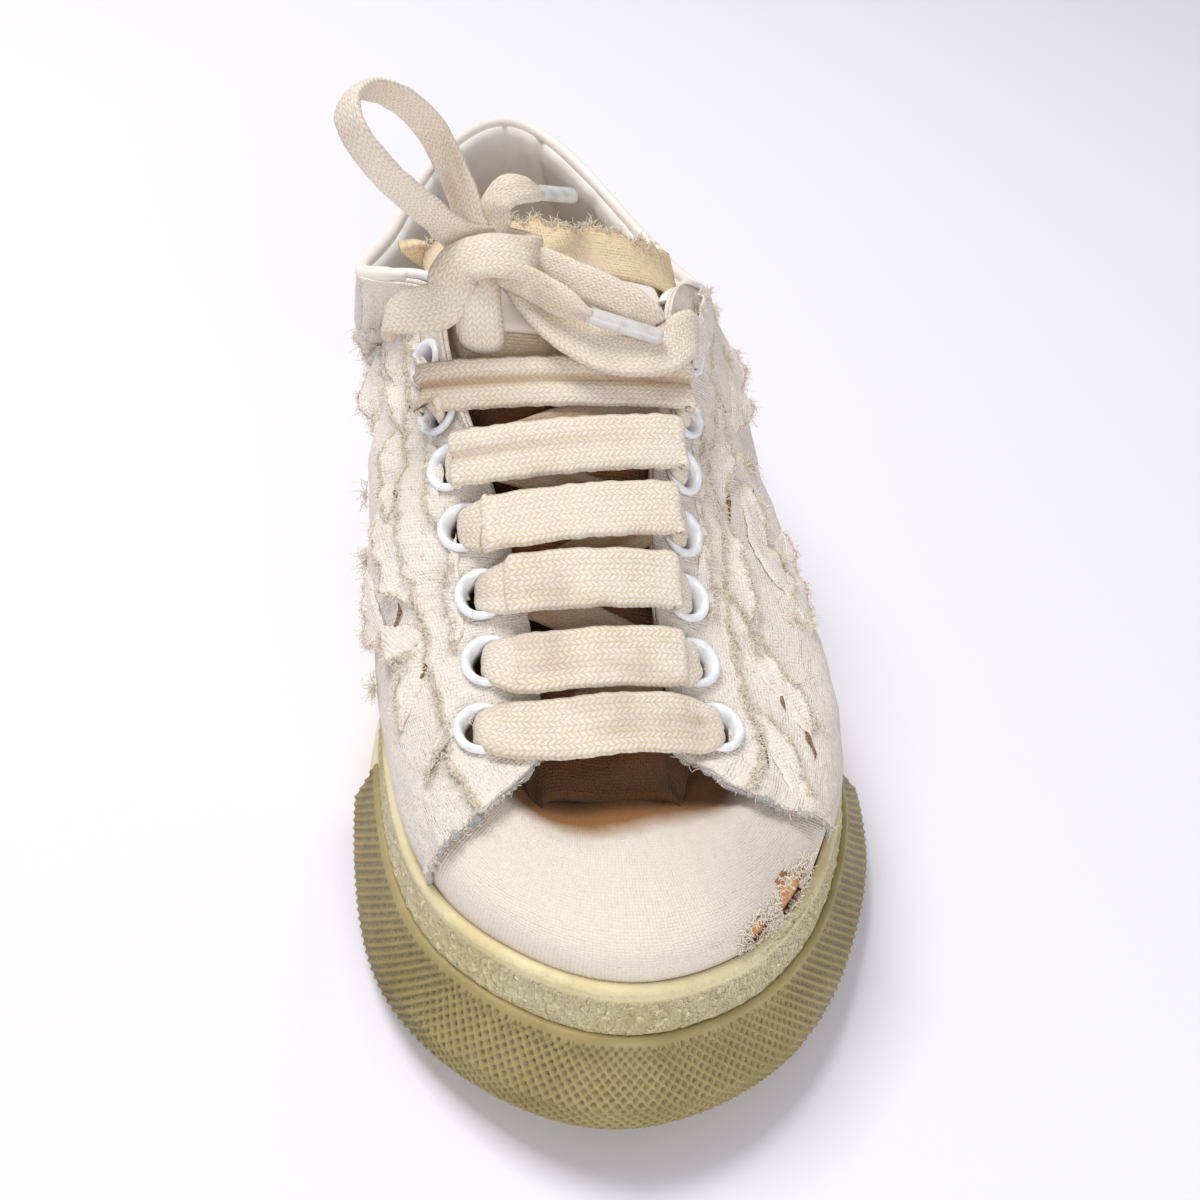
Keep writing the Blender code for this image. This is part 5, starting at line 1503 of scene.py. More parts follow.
    def eyestay(self, side: Side) -> bpy.types.Object:
        """Make the frayed strip of cloth that carries one row of eyelets.

        Args:
            side: Side of the shoe.

        Returns:
            The strip.
        """
        medial = side is Side.MEDIAL
        start, end = (1.6, 7.9) if medial else (16.2, 22.4)
        turn = LAST.even_turns(start, end, 260)
        along = walk(LAST.bare(turn, 0.9))
        ragged = Grain(41 if medial else 42).at(along / 2.2, 0 * along, 3)
        sway = Grain(43 if medial else 44).at(along / 15.0, 0 * along, 1)
        width = (21.0 if medial else 18.0) + 0.7 * ragged + 1.8 * sway
        share = np.linspace(0.0, 1.0, 44)[:, None]
        depth = width[None] * (1 - share)
        from_front = (turn - start) / (end - start) if medial else (end - turn) / (end - start)
        back = end if medial else start
        turn = np.broadcast_to(turn, depth.shape)
        for _ in range(2):
            rise = LAST.rise_below(turn, depth)
            front = self.edge_turn(side, rise)
            turn = front + (back - front) * from_front[None]
        rise = LAST.rise_below(turn, depth)
        frayed = 0.45 * np.exp(-(share / 0.05) ** 2) * (0.5 + 0.5 * ragged)
        outer = LAST.skin(turn, rise, QUARTER_STEP + 0.85 + frayed + self.edge_lift(side, turn, rise))
        self.torn[f"eyestay_{side.label}"] = (outer[0], outer[0] - outer[2],
                                              LAST.frame_at(turn[0], rise[0])[2])
        holes = [(site.centre + site.normal * 0.8, HOLE_RADIUS) for site in self.eyelets.places]
        cloth = flat_cloth(outer)
        soil = 0.18 * np.exp(-(share / 0.06) ** 2)
        name = f"eyestay_{side.label}"
        piece = pierced(name, outer, cloth, {"soil": soil, "tint": 0.12 * (1 + ragged)}, 0.75, holes)
        return WARDROBE.dress(piece, SIDE_CANVAS)

    def front_edge(self, side: Side) -> bpy.types.Object:
        """Make the dusty turned edge along a quarter's front.

        Args:
            side: Side of the shoe.

        Returns:
            The edge.
        """
        rise = np.linspace(0.02, 0.985, 220)
        turn = self.edge_turn(side, rise)
        wave = Grain(45 if side is Side.MEDIAL else 46)
        lift = 0.7 + self.edge_lift(side, turn, rise) + 0.25 * wave.at(rise * 24, rise * 0, 2)
        path = LAST.skin(turn, rise, lift)
        normal = LAST.frame_at(turn, rise)[2]
        size = 0.62 + 0.35 * wave.at(rise * 60, rise * 0 + 3.0, 3)
        dust = 0.25 + 0.6 * wave.at(rise * 14, rise * 0 + 7.0, 2)
        piece = tube(f"front_edge_{side.label}", path, size, 10, 0.7, normal, {"soil": np.clip(dust, 0, 1)})
        inward = LAST.skin(turn + (0.2 if side is Side.LATERAL else -0.2), rise, lift) - path
        self.torn[f"front_{side.label}"] = (path[8::2], inward[8::2], normal[8::2])
        return WARDROBE.dress(piece, EDGE_CLOTH)

    def build(self) -> list[bpy.types.Object]:
        """Make the upper's cloth, lining and leather."""
        pieces = [self.vamp(), self.backing(), self.quarters(), self.lining(), self.binding(),
                  self.heel_counter()]
        for side in Side:
            pieces += [self.eyestay(side), self.front_edge(side)]
        return pieces


# Tongue ------------------------------------------------------------------------------------------

@dataclass
class Tongue:
    """Canvas tongue with a frayed top and a bare leather patch.

    Attributes:
        rows: Turns of its medial and lateral sides, rises of its edges and sides, and height of its
            middle above the line between the throat's edges, from the front.
        top: Points of its top edge.
        thickness: Thickness of the padded canvas.
        torn: Points, outward directions and normals along its torn edge.
    """

    rows: tuple[tuple[float, float, float, float, float], ...] = (
        (1.10, 23.10, 0.86, 0.76, 0.0), (1.65, 22.85, 1.00, 0.86, -0.6), (3.00, 21.00, 1.00, 0.80, 1.6),
        (4.00, 20.00, 1.00, 0.78, 2.0), (5.00, 19.00, 1.00, 0.76, 2.0), (5.50, 18.50, 1.00, 0.76, 2.2),
        (6.00, 18.00, 1.00, 0.76, 2.2), (6.50, 17.50, 1.00, 0.76, 2.2), (6.90, 17.10, 1.00, 0.76, 2.0),
    )
    top: tuple[tuple[float, float, float], ...] = (
        (-42.8, 20.0, 91.5), (-33.0, 20.5, 94.5), (-12.5, 21.5, 96.5), (8.0, 20.5, 94.5), (14.4, 21.5, 92.5),
    )
    thickness: float = 2.6
    torn: dict[str, tuple[np.ndarray, np.ndarray, np.ndarray]] = field(default_factory=dict)

    def sheet(self, rows: int, columns: int) -> np.ndarray:
        """Work out the tongue's top face.

        Args:
            rows: Number of points from the front to the top edge.
            columns: Number of points from the medial to the lateral side.

        Returns:
            The points as (rows, columns, 3).
        """
        across = []
        for turn_medial, turn_lateral, edge_rise, side_rise, crown in self.rows:
            turns = np.array([turn_medial, turn_medial, turn_lateral, turn_lateral])
            rises = np.array([side_rise, edge_rise, edge_rise, side_rise])
            corners = LAST.plain(turns, rises, np.array([-5.0, -4.0, -4.0, -5.0]))
            middle = (corners[1] + corners[2]) / 2 + THROAT_NORMAL * crown
            across.append(open_spline(np.array([corners[0], corners[1], middle, corners[2], corners[3]]),
                                      columns))
        across.append(open_spline(np.array(self.top), columns))
        across = np.array(across)
        return np.stack([open_spline(across[:, column], rows) for column in range(columns)], axis=1)

    @staticmethod
    def lifted(sheet: np.ndarray, height: np.ndarray | float) -> np.ndarray:
        """Move a sheet along its own normals."""
        normal = unit(np.cross(np.gradient(sheet, axis=1), np.gradient(sheet, axis=0)))
        return sheet + normal * np.broadcast_to(height, sheet.shape[:2])[..., None]

    def canvas(self) -> bpy.types.Object:
        """Make the tongue's cloth, painted deep brown as shade down in the throat."""
        sheet = self.sheet(130, 80)
        cloth = flat_cloth(sheet)
        share = np.linspace(0.0, 1.0, 130)[:, None]
        ripple = Grain(51).at(cloth[..., 0] / 11, cloth[..., 1] / 9, 2)
        edge = Grain(52).at(cloth[..., 0] / 2.0, cloth[..., 1] * 0, 3)
        sheet = sheet + (unit(np.gradient(sheet, axis=0))
                         * (0.7 * edge * smooth(0.97, 1.0, share))[..., None])
        outer = self.lifted(sheet, 0.35 * ripple)
        inner = self.lifted(sheet, -self.thickness)
        rolled = 0.5 * smooth(0.93, 1.0, share) * (1 + edge)
        outer = self.lifted(outer, rolled)
        # Painted shade: the lower part, down in the throat, turns deep brown; the faint ripple on top is dirt.
        piece = shell("tongue_canvas", outer, inner[::3], False, cloth,
                      {"tint": 0.35 + 0.5 * smooth(0.75, 1.0, share) + 0.2 * ripple,
                       "soil": 1.6 * (1 - smooth(0.62, 0.82, share)) + 0.1 * ripple})
        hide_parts("tongue")
        return WARDROBE.dress(piece, TONGUE_CANVAS)

    def patch(self) -> bpy.types.Object:
        """Make the bare leather patch across the tongue's top."""
        sheet = self.sheet(130, 80)[100:124, 17:64]
        grid = np.linspace(0, 1, 24)[:, None], np.linspace(0, 1, 47)[None]
        border = np.minimum(np.minimum(grid[0], 1 - grid[0]) * 23, np.minimum(grid[1], 1 - grid[1]) * 46)
        edge = np.clip(border / 1.0, 0, 1)
        outer = self.lifted(sheet, 0.9 + 0.7 * edge ** 0.5)
        inner = self.lifted(sheet, 0.5)
        piece = shell("tongue_patch_leather", outer, inner, False, flat_cloth(sheet),
                      {"soil": 0.15 * (1 - edge)})
        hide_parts("tongue_patch")
        return WARDROBE.dress(piece, LEATHER)

    def strip(self) -> bpy.types.Object:
        """Make the torn strip of canvas stitched over the top edge."""
        sheet = self.sheet(130, 80)[115:130, 8:74]
        cloth = flat_cloth(sheet)
        share = np.linspace(0.0, 1.0, 15)[:, None]
        torn = Grain(53).at(cloth[..., 0] / 1.7, cloth[..., 1] * 0, 3)
        sheet = sheet + unit(np.gradient(sheet, axis=0)) * (1.1 * torn * smooth(0.8, 1.0, share))[..., None]
        ripple = Grain(54).at(cloth[..., 0] / 5, cloth[..., 1] / 5, 2)
        outer = self.lifted(sheet, 2.3 + 0.5 * ripple * smooth(0.1, 0.6, share)
                            - 0.5 * (1 - smooth(0.0, 0.12, share)))
        inner = self.lifted(sheet, 1.5 + 0.4 * ripple * smooth(0.1, 0.6, share))
        self.torn["tongue"] = (outer[-1], outer[-1] - outer[-3],
                               np.cross(outer[-1] - outer[-2], (1.0, 0.0, 0.0)) * -1)
        piece = shell("tongue_strip", outer, inner, False, cloth,
                      {"tint": 0.75 + 0.3 * ripple, "soil": 0.05 * ripple})
        return WARDROBE.dress(piece, TONGUE_CANVAS)

    def build(self) -> list[bpy.types.Object]:
        """Make the tongue."""
        return [self.canvas(), self.patch(), self.strip()]


# Torn layers -------------------------------------------------------------------------------------

@dataclass
class Rags:
    """Torn layers of cloth that stand off the quarters, and the loose threads of every torn edge.

    Attributes:
        medial: The inner side's layers: turn and rise of the middle, length, width, direction in which
            the torn edge faces (0 forward along the ribs' rows, 90 up), how far that edge
            stands off, and height of the layer beneath.
        lateral: The outer side's layers.
        slits: Dark brown sheets of painted shade laid where the layers gap: turn, rise, length, width,
            direction.
        tufts: Bunches of threads: turn, rise, number, length and spread of their roots.
        samples: Columns and rows of one layer's mesh.
        torn: Points, outward directions and normals along each torn edge.
    """

    medial: tuple[tuple[float, ...], ...] = (
        # turn  rise  long  wide  faces  off  base
        (4.10,  0.56, 26.0, 8.0,  -100,  1.8, 0.0),
        (4.75,  0.60, 24.0, 7.0,   -80,  1.6, 0.0),
        (5.60,  0.62, 30.0, 8.5,  -100,  2.0, 0.0),
        (6.70,  0.62, 26.0, 9.0,   -90,  2.2, 0.0),
        (7.40,  0.52, 22.0, 9.0,   -70,  2.4, 0.0),
        (3.45,  0.52, 15.0, 8.0,  -120,  2.0, 0.0),
        (3.05,  0.52, 18.0, 5.5,   -60,  1.3, 0.0),
        (2.45,  0.58, 14.0, 4.5,   150,  1.2, 0.0),
        (4.60,  0.80, 30.0, 4.0,   -90,  0.9, 0.9),
        (5.60,  0.80, 26.0, 4.0,  -100,  1.0, 0.9),
        (3.60,  0.80, 24.0, 3.5,   -80,  0.8, 0.9),
        (6.20,  0.42, 28.0, 9.0,   -85,  2.2, 0.0),
        (3.90,  0.34, 24.0, 7.0,  -100,  1.6, 0.0),
    )
    lateral: tuple[tuple[float, ...], ...] = (
        (17.45, 0.86, 22.0, 16.0,  100,  2.8, 1.8),
        (18.60, 0.72, 30.0, 8.0,   -90,  2.2, 0.0),
        (19.75, 0.71, 28.0, 7.0,   -95,  1.7, 0.0),
        (20.45, 0.74, 16.0, 6.0,  -125,  2.0, 0.0),
        (20.90, 0.60, 26.0, 7.0,  -125,  1.5, 0.0),
        (21.75, 0.60, 24.0, 6.0,  -130,  1.5, 0.0),
        (19.40, 0.53, 30.0, 8.0,  -110,  2.0, 0.0),
        (17.70, 0.56, 26.0, 9.0,   -90,  2.4, 0.0),
        (19.90, 0.84, 26.0, 3.5,   -90,  0.8, 0.9),
        (18.80, 0.84, 24.0, 4.0,   -95,  1.0, 0.9),
        (19.60, 0.38, 30.0, 8.0,   -90,  1.8, 0.0),
    )
    slits: tuple[tuple[float, ...], ...] = (
        (20.42, 0.73, 11.0, 1.6,  170), (18.35, 0.69, 14.0, 1.3,  175), (19.15, 0.69, 10.0, 1.2,  170),
        (19.62, 0.68, 8.0,  1.4,  180), (21.02, 0.60, 9.0,  1.0,  165), (21.45, 0.48, 8.0,  1.2,  160),
        (21.72, 0.70, 12.0, 0.9,  165), (4.15, 0.52, 12.0, 1.3,   10), (4.60, 0.60, 10.0, 1.4,   -5),
        (3.60, 0.50, 9.0,  1.2,    30), (3.05, 0.55, 9.0,  1.0,   40), (2.50, 0.60, 9.0,  0.9,   50),
        (5.50, 0.58, 9.0,  1.5,     0), (6.60, 0.60, 8.0,  1.5,     5),
    )
    tufts: tuple[tuple[float, ...], ...] = (
        (4.45, 0.30, 60, 5.5, 3.0), (4.95, 0.34, 50, 5.0, 3.0), (3.85, 0.26, 60, 5.5, 2.5),
        (3.45, 0.20, 50, 6.0, 2.0), (5.60, 0.40, 60, 4.5, 4.0), (6.60, 0.42, 60, 5.0, 4.0),
        (7.60, 0.44, 70, 5.5, 5.0), (4.20, 0.50, 40, 3.5, 3.0), (17.90, 0.52, 60, 6.0, 3.5),
        (18.60, 0.54, 50, 5.0, 3.0), (19.10, 0.55, 50, 4.5, 3.0), (19.50, 0.44, 60, 5.0, 2.5),
        (20.10, 0.46, 40, 3.5, 3.0), (17.40, 0.62, 60, 5.0, 4.0), (21.20, 0.44, 40, 3.0, 3.0),
        (20.60, 0.72, 40, 3.0, 3.0),
    )
    samples: tuple[int, int] = (41, 11)
    torn: dict[str, tuple[np.ndarray, np.ndarray, np.ndarray]] = field(default_factory=dict)

    def spread(self, row: tuple[float, ...], u: np.ndarray, v: np.ndarray) -> tuple[np.ndarray, np.ndarray]:
        """Return turn and rise at u millimetres along and v millimetres across a layer's own axes."""
        around, upward, _ = LAST.frame_at(row[0], row[1])
        lean = math.radians(row[4])
        ahead = v * math.cos(lean) - u * math.sin(lean)
        climb = v * math.sin(lean) + u * math.cos(lean)
        return (row[0] + ahead / np.linalg.norm(around),
                np.clip(row[1] + climb / np.linalg.norm(upward), 0.02, 0.995))

    def layers(self, side: Side) -> bpy.types.Object:
        """Make one side's torn layers as one piece, and note their edges.

        Args:
            side: Side of the shoe.

        Returns:
            The layers.
        """
        columns, rows = self.samples
        along = np.linspace(-1.0, 1.0, columns)[None]
        over = np.linspace(0.0, 1.0, rows)[:, None]
        loops, cloths, edges = [], [], []
        for number, row in enumerate(self.medial if side is Side.MEDIAL else self.lateral):
            grain = Grain(200 + number + 50 * (side is Side.LATERAL))
            _, _, long, wide, _, off, base = row
            reach = wide * (1 - np.abs(along) ** 3) * (0.72 + 0.25 * grain.at(along * long / 9, 0 * along, 2))
            reach = reach + 0.45 * grain.at(along * long / 1.6, 5 + 0 * along, 2) * (1 - np.abs(along) ** 6)
            u = along * long / 2 + 1.2 * grain.at(over * wide / 4, 9 + along * long / 8, 2)
            v = (over - 0.55) * reach + 1.2 * grain.at(along * long / 10, 13 + 0 * along)
            turn, rise = self.spread(row, u, v)
            curl = off * over ** 2.0 * (0.55 + 0.6 * grain.at(along * long / 6, 17 + over)) * (1 - along ** 4)
            wave = (0.35 * grain.at(along * long / 4, 21 + over * wide / 3, 2)
                    * (1 - np.abs(along) ** 4) * over)
            lift = QUARTER_STEP + base + 0.15 + np.maximum(curl + wave, 0.0)
            outer = LAST.skin(turn, rise, lift + 0.55 * (1 - np.abs(along) ** 8) * smooth(0.0, 0.12, over))
            inner = LAST.skin(turn, rise, lift - 0.15)
            loops.append(np.concatenate([outer, inner[::-1], outer[:1]], axis=0))
            flat = np.stack(np.broadcast_arrays(u + 60 * number, v), axis=-1)
            cloths.append(np.concatenate([flat, flat[::-1], flat[:1]], axis=0))
            edges.append((outer[-1, 2:-2], (outer[-1] - outer[-4])[2:-2],
                          LAST.frame_at(turn[-1], rise[-1])[2][2:-2]))
        self.torn[f"layers_{side.label}"] = tuple(np.concatenate(part) for part in zip(*edges))
        piece = sheets(f"torn_layers_{side.label}", np.array(loops), np.array(cloths))
        return WARDROBE.dress(piece, SIDE_CANVAS)

    def gaps(self) -> bpy.types.Object:
        """Make dark brown sheets of painted shade where slits open between the layers."""
        along = np.linspace(-1.0, 1.0, 31)[None]
        over = np.linspace(-1.0, 1.0, 7)[:, None]
        grids, cloths = [], []
        for number, row in enumerate(self.slits):
            grain = Grain(300 + number)
            half = row[3] / 2 * (1 - along ** 2) * (1 + 0.5 * grain.at(along * row[2] / 2.5, 0 * along, 2))
            u = along * row[2] / 2
            v = over * half + 0.7 * grain.at(along * row[2] / 5, 5 + 0 * along)
            turn, rise = self.spread(row, v, u)
            lift = QUARTER_STEP + 0.25 + 0.35 * (1 - over ** 2) * (1 - along ** 2)
            grids.append(LAST.skin(turn, rise, lift))
            cloths.append(np.stack(np.broadcast_arrays(u + 30 * number, v), axis=-1))
        piece = sheets("torn_slits", np.array(grids), np.array(cloths))
        return WARDROBE.dress(piece, PAINTED_SHADE_CLOTH)

    def fringe(self, label: str, count: int, length: float, curl: float, seed: int) -> bpy.types.Object:
        """Make the loose threads of one torn edge.

        Args:
            label: Name of the edge.
            count: Number of threads.
            length: Length of the usual thread.
            curl: How strongly they bend.
            seed: Start of the random draws.

        Returns:
            The threads.
        """
        points, outward, normal = self.torn[label]
        draw = np.random.default_rng(seed)
        pick = draw.integers(0, len(points), count)
        shift = draw.normal(0.0, 0.35, (count, 3))
        outward, normal = unit(outward)[pick], unit(normal)[pick]
        sideways = np.cross(outward, normal) * draw.normal(0.0, 0.7, (count, 1))
        heading = outward + sideways + normal * draw.uniform(-0.15, 0.6, (count, 1))
        long = length * np.minimum(draw.lognormal(-0.2, 0.5, count), 2.2)
        piece = threads(f"fray_{label}", points[pick] + shift - outward * 0.5, heading, normal, long, 0.11,
                        curl, seed)
        return WARDROBE.dress(piece, YARN)

    def bunches(self) -> bpy.types.Object:
        """Make the tufts that stand out from the sides."""
        roots, headings, normals, lengths = [], [], [], []
        for number, (turn, rise, count, length, spread) in enumerate(self.tufts):
            draw = np.random.default_rng(400 + number)
            u, v = draw.normal(0.0, spread / 2, int(count)), draw.normal(0.0, spread / 3, int(count))
            where = self.spread((turn, rise, 0, 0, 0), u, v)
            normal = LAST.frame_at(*where)[2]
            roots.append(LAST.skin(*where, QUARTER_STEP + 0.4))
            lean = unit(draw.normal(0.0, 1.0, 3))
            headings.append(normal * 0.7 + lean * 0.5 + draw.normal(0.0, 0.35, (int(count), 3)))
            normals.append(normal)
            lengths.append(length * draw.uniform(0.35, 1.0, int(count)))
        piece = threads("fray_tufts", np.concatenate(roots), np.concatenate(headings),
                        np.concatenate(normals), 0.75 * np.concatenate(lengths), 0.12, 1.5, 401, 4)
        return WARDROBE.dress(piece, YARN)

    def worn_hole(self, hole: tuple[float, float], worn: tuple[tuple[float, ...], ...]) -> bpy.types.Object:
        """Make the white threads left round the vamp's holes.

        Args:
            hole: Turn and rise of their middle.
            worn: Place and half size of each hole, along and up the vamp.

        Returns:
            The threads.
        """
        draw = np.random.default_rng(411)
        around, upward, _ = LAST.frame_at(*hole)
        spots, headings = [], []
        for side_mm, up_mm, wide, tall in worn:
            count = int(52 * (wide + tall))
            angle, reach = draw.uniform(0.0, 2 * math.pi, count), draw.normal(1.22, 0.24, count)
            out = np.column_stack([np.cos(angle), np.sin(angle)])
            spots.append(np.array([side_mm, up_mm]) + out * reach[:, None] * np.array([wide, tall]))
            headings.append(-0.5 * out + draw.normal(0.0, 0.8, (count, 2)))
        spots, headings = np.concatenate(spots), np.concatenate(headings)
        turn = hole[0] + spots[:, 0] / np.linalg.norm(around)
        rise = np.clip(hole[1] + spots[:, 1] / np.linalg.norm(upward), 0.01, 0.9)
        normal = LAST.frame_at(turn, rise)[2]
        heading = unit(around) * headings[:, :1] + unit(upward) * headings[:, 1:]
        heading = heading + normal * draw.uniform(0.0, 0.5, (len(spots), 1))
        length = draw.uniform(0.5, 1.7, len(spots))
        piece = threads("fray_vamp_hole", LAST.skin(turn, rise, 0.1), heading, normal, length, 0.13, 1.5, 412)
        return WARDROBE.dress(piece, YARN)

    def build(self, upper: Upper) -> list[bpy.types.Object]:
        """Make every torn layer and its threads.

        Args:
            upper: The upper, whose vamp has the worn holes.

        Returns:
            The pieces.
        """
        pieces = [self.layers(side) for side in Side] + [self.gaps(), self.bunches()]
        pieces.append(self.worn_hole(upper.hole, upper.worn))
        for seed, (label, count, length, curl) in enumerate((
                ("layers_medial", 3000, 1.3, 1.4), ("layers_lateral", 3000, 1.3, 1.4),
                ("eyestay_medial", 1800, 1.2, 1.4), ("eyestay_lateral", 1800, 1.2, 1.4),
                ("front_medial", 400, 1.0, 1.4), ("front_lateral", 440, 1.0, 1.4),
                ("tongue", 800, 1.3, 1.2))):
            pieces.append(self.fringe(label, count, length, curl, 500 + seed))
        return pieces


# Lace --------------------------------------------------------------------------------------------

@dataclass
class Lace:
    """Flat braided cotton lace.

    Attributes:
        eyelets: The rings that it runs through.
        width: Width of the lace laid flat.
        thickness: Its thickness.
        row_width: Width of the rows, pressed flat.
        lumps: Unevenness of its thickness.
        row_height: Height of a row over the throat's edge: the step, the eyestay and the lace.
        run_height: Height of a run beneath the rows, over the same edge.
        lifts: How far each row lies up the throat from its straight place, at the medial and the
            lateral edge.
        steps: Way of a row out of its hole: distance towards the throat's edge, height above the cloth.
    """

    eyelets: Eyelets
    lifts: tuple[tuple[float, float], ...] = (
        (-2.0, -1.0), (-2.1, -1.0), (0.0, 0.7), (-1.9, 1.2), (-1.2, 1.5), (1.8, 1.2),
    )
    steps: tuple[tuple[float, float], ...] = ((-0.3, -3.0), (-0.5, -0.6), (0.2, 1.6), (2.2, 2.8), (5.2, 3.1))
    width: float = 10.0
    row_width: float = 11.4
    thickness: float = 2.0
    lumps: float = 0.12
    row_height: float = QUARTER_STEP + 3.7 + 1.7
    run_height: float = 0.6

    def ribbon(self, name: str, path: np.ndarray, across: np.ndarray, width: np.ndarray | float | None = None,
               thickness: np.ndarray | float | None = None, cup: np.ndarray | float = 0.0,
               soil: np.ndarray | None = None, start: float = 0.0,
               crease: np.ndarray | float = 0.0) -> bpy.types.Object:
        """Sweep the braid along a path.

        Args:
            name: Name of the piece.
            path: Points of the centreline.
            across: Direction of the lace's width at each point.
            width: Width at each point.
            thickness: Thickness at each point.
            cup: How far the edges bend up, at each point.
            soil: Dirt at each point, with painted shade added along the fold of a crease.
            start: Length of lace before the path, which shifts the stitches.
            crease: Depth of the fold along the middle, as a share of the thickness, at each point.

        Returns:
            The new object.
        """
        length = float(np.linalg.norm(np.diff(path, axis=0), axis=1).sum())
        count = max(12, int(length / 0.5))
        width = np.broadcast_to(self.width if width is None else width, (len(path),))
        thickness = np.broadcast_to(self.thickness if thickness is None else thickness, (len(path),))
        cup = np.broadcast_to(cup, (len(path),))
        soil = np.zeros(len(path)) if soil is None else soil
        crease = np.broadcast_to(crease, (len(path),))
        packed = np.column_stack([path, np.broadcast_to(across, path.shape), width, thickness, cup, soil,
                                  crease])
        packed = open_spline(packed, count)
        path, across = packed[:, :3], packed[:, 3:6]
        width, thickness, cup, soil, crease = packed[:, 6:].T
        along = unit(np.gradient(path, axis=0))
        across = unit(across - (across * along).sum(-1, keepdims=True) * along)
        up = np.cross(along, across)
        walked = start + np.linspace(0.0, length, count)
        columns = 15
        place_x = np.linspace(-1.0, 1.0, columns)
        face = np.concatenate([place_x, place_x[-2:0:-1], place_x[:1]])
        sign = np.concatenate([-np.ones(columns), np.ones(columns - 2), [-1.0]])
        half = np.sqrt(np.clip(1 - np.abs(face) ** 3.2, 0.0, 1.0)) * sign
        lump = Grain(61).at(walked[:, None] / 1.6, face[None] * 4 + sign[None] * 20, 2)
        height = half[None] * (thickness[:, None] / 2 + self.lumps * lump)
        fold = crease[:, None] * np.exp(-((face[None] - 0.08) / 0.2) ** 2)
        grime = 0.3 * np.clip(Grain(65).at(walked[:, None] / 11, face[None] * 0.9, 3), 0.0, 1.0)
        height = height * (1 - fold) + cup[:, None] * (face[None] ** 2 - 0.3)
        sway = 1 + 0.03 * Grain(62).at(walked / 2.0, walked * 0, 2)
        points = (path[:, None] + across[:, None] * (face[None] * (width * sway)[:, None] / 2)[..., None]
                  + up[:, None] * height[..., None])
        caps = [np.repeat(points[end].mean(axis=0)[None, None], points.shape[1], axis=1) for end in (0, -1)]
        points = np.concatenate([caps[0], points, caps[1]], axis=0)
        grow = np.concatenate([[0], np.arange(count), [count - 1]])
        over = np.concatenate([[0.0], np.cumsum(np.abs(np.diff(face)))]) * self.width / 2
        cloth = np.stack(np.broadcast_arrays(walked[grow][:, None], over[None]), axis=-1)
        # Painted shade along the fold of a crease, added to the mottled dirt.
        return surface(name, points, cloth,
                       {"soil": np.clip(soil[grow][:, None] + (grime + 0.6 * fold)[grow], 0, 1)})

    @staticmethod
    def lead(site: Site, inward: np.ndarray, edge: np.ndarray, ahead: float, height: float) -> np.ndarray:
        """Return one point of a row's way from its hole to the throat's edge.

        Args:
            site: The eyelet.
            inward: Direction from the hole to the edge.
            edge: Where the row crosses the edge.
            ahead: Distance from the hole's middle towards the edge.
            height: Height above the cloth.

        Returns:
            The point.
        """
        level = unit(inward - (inward @ site.normal) * site.normal)
        whole, top = (edge - site.centre) @ level, (edge - site.centre) @ site.normal
        climb = 0.45 * max(top - 3.0, 0.0) * smooth(0.3, 1.0, ahead / whole)
        return site.centre + level * min(ahead, 0.7 * whole) + site.normal * (height + climb)

    def row(self, number: int) -> bpy.types.Object:
        """Make one lace row, from hole to hole over the tongue.

        Args:
            number: Number of the eyelet pair, counted from the toe.

        Returns:
            The row.
        """
        ends = []
        for side in Side:
            site = self.eyelets.site(side, number)
            edge = crossing(side, site.centre[1], self.row_height)
            inward = unit(edge - site.centre)
            ends.append((site, inward, edge))
        (site_m, in_m, edge_m), (site_l, in_l, edge_l) = ends
        lift_m, lift_l = [THROAT_SLOPE * lift for lift in self.lifts[number - 1]]
        middle = (edge_m + edge_l + lift_m + lift_l) / 2 + THROAT_NORMAL * 2.0
        lead_m = [self.lead(site_m, in_m, edge_m, *step) for step in self.steps]
        lead_l = [self.lead(site_l, in_l, edge_l, *step) for step in self.steps]
        for lead, lift in ((lead_m, lift_m), (lead_l, lift_l)):
            lead[-1] = lead[-1] + lift * 0.7
            lead[-2] = lead[-2] + lift * 0.35
        path = np.array([*lead_m, edge_m + lift_m, middle, edge_l + lift_l, *lead_l[::-1]])
        width = self.row_width * np.array([0.42, 0.46, 0.62, 0.84, 0.96, 1,
                                           1, 1, 0.96, 0.84, 0.62, 0.46, 0.42])
        thickness = np.array([2.2, 2.4, 2.4, 2.3, 2.2, 2.1, 2.0, 2.1, 2.2, 2.3, 2.4, 2.4, 2.2])
        cup = np.full(len(path), 0.25)
        soil = np.full(len(path), 0.03)
        crease = np.zeros(len(path))
        if number == 5:
            crease[3:8] = (0.2, 0.75, 0.7, 0.3, 0.0)
        if number == 6:
            width = width * 0.92
            crease[3:10] = (0.2, 0.6, 0.95, 1.0, 0.8, 0.4, 0.2)
            # Painted shade in row 6's dark groove.
            soil[4:6] = (0.35, 0.2)
        if number == 1:
            crease[7:10] = (0.3, 0.5, 0.3)
        tilt = THROAT_SLOPE + THROAT_NORMAL * (0.10 + 0.12 * float(Grain(64).at(number * 2.3, 0.0)))
        turn_in = [np.cross(site.normal, inward) for site, inward, _ in ends]
        turn_in = [unit(way * np.sign(way @ tilt)) for way in turn_in]
        mixed = [unit(way * 0.4 + tilt) for way in turn_in]
        across = np.array([turn_in[0]] * 4 + [mixed[0]] + [tilt] * 3 + [mixed[1]] + [turn_in[1]] * 4)
        piece = self.ribbon(f"lace_row_{number}", path, across, width, thickness, cup, soil, 13.0 * number,
                            crease)
        return WARDROBE.dress(piece, LACE_COTTON)

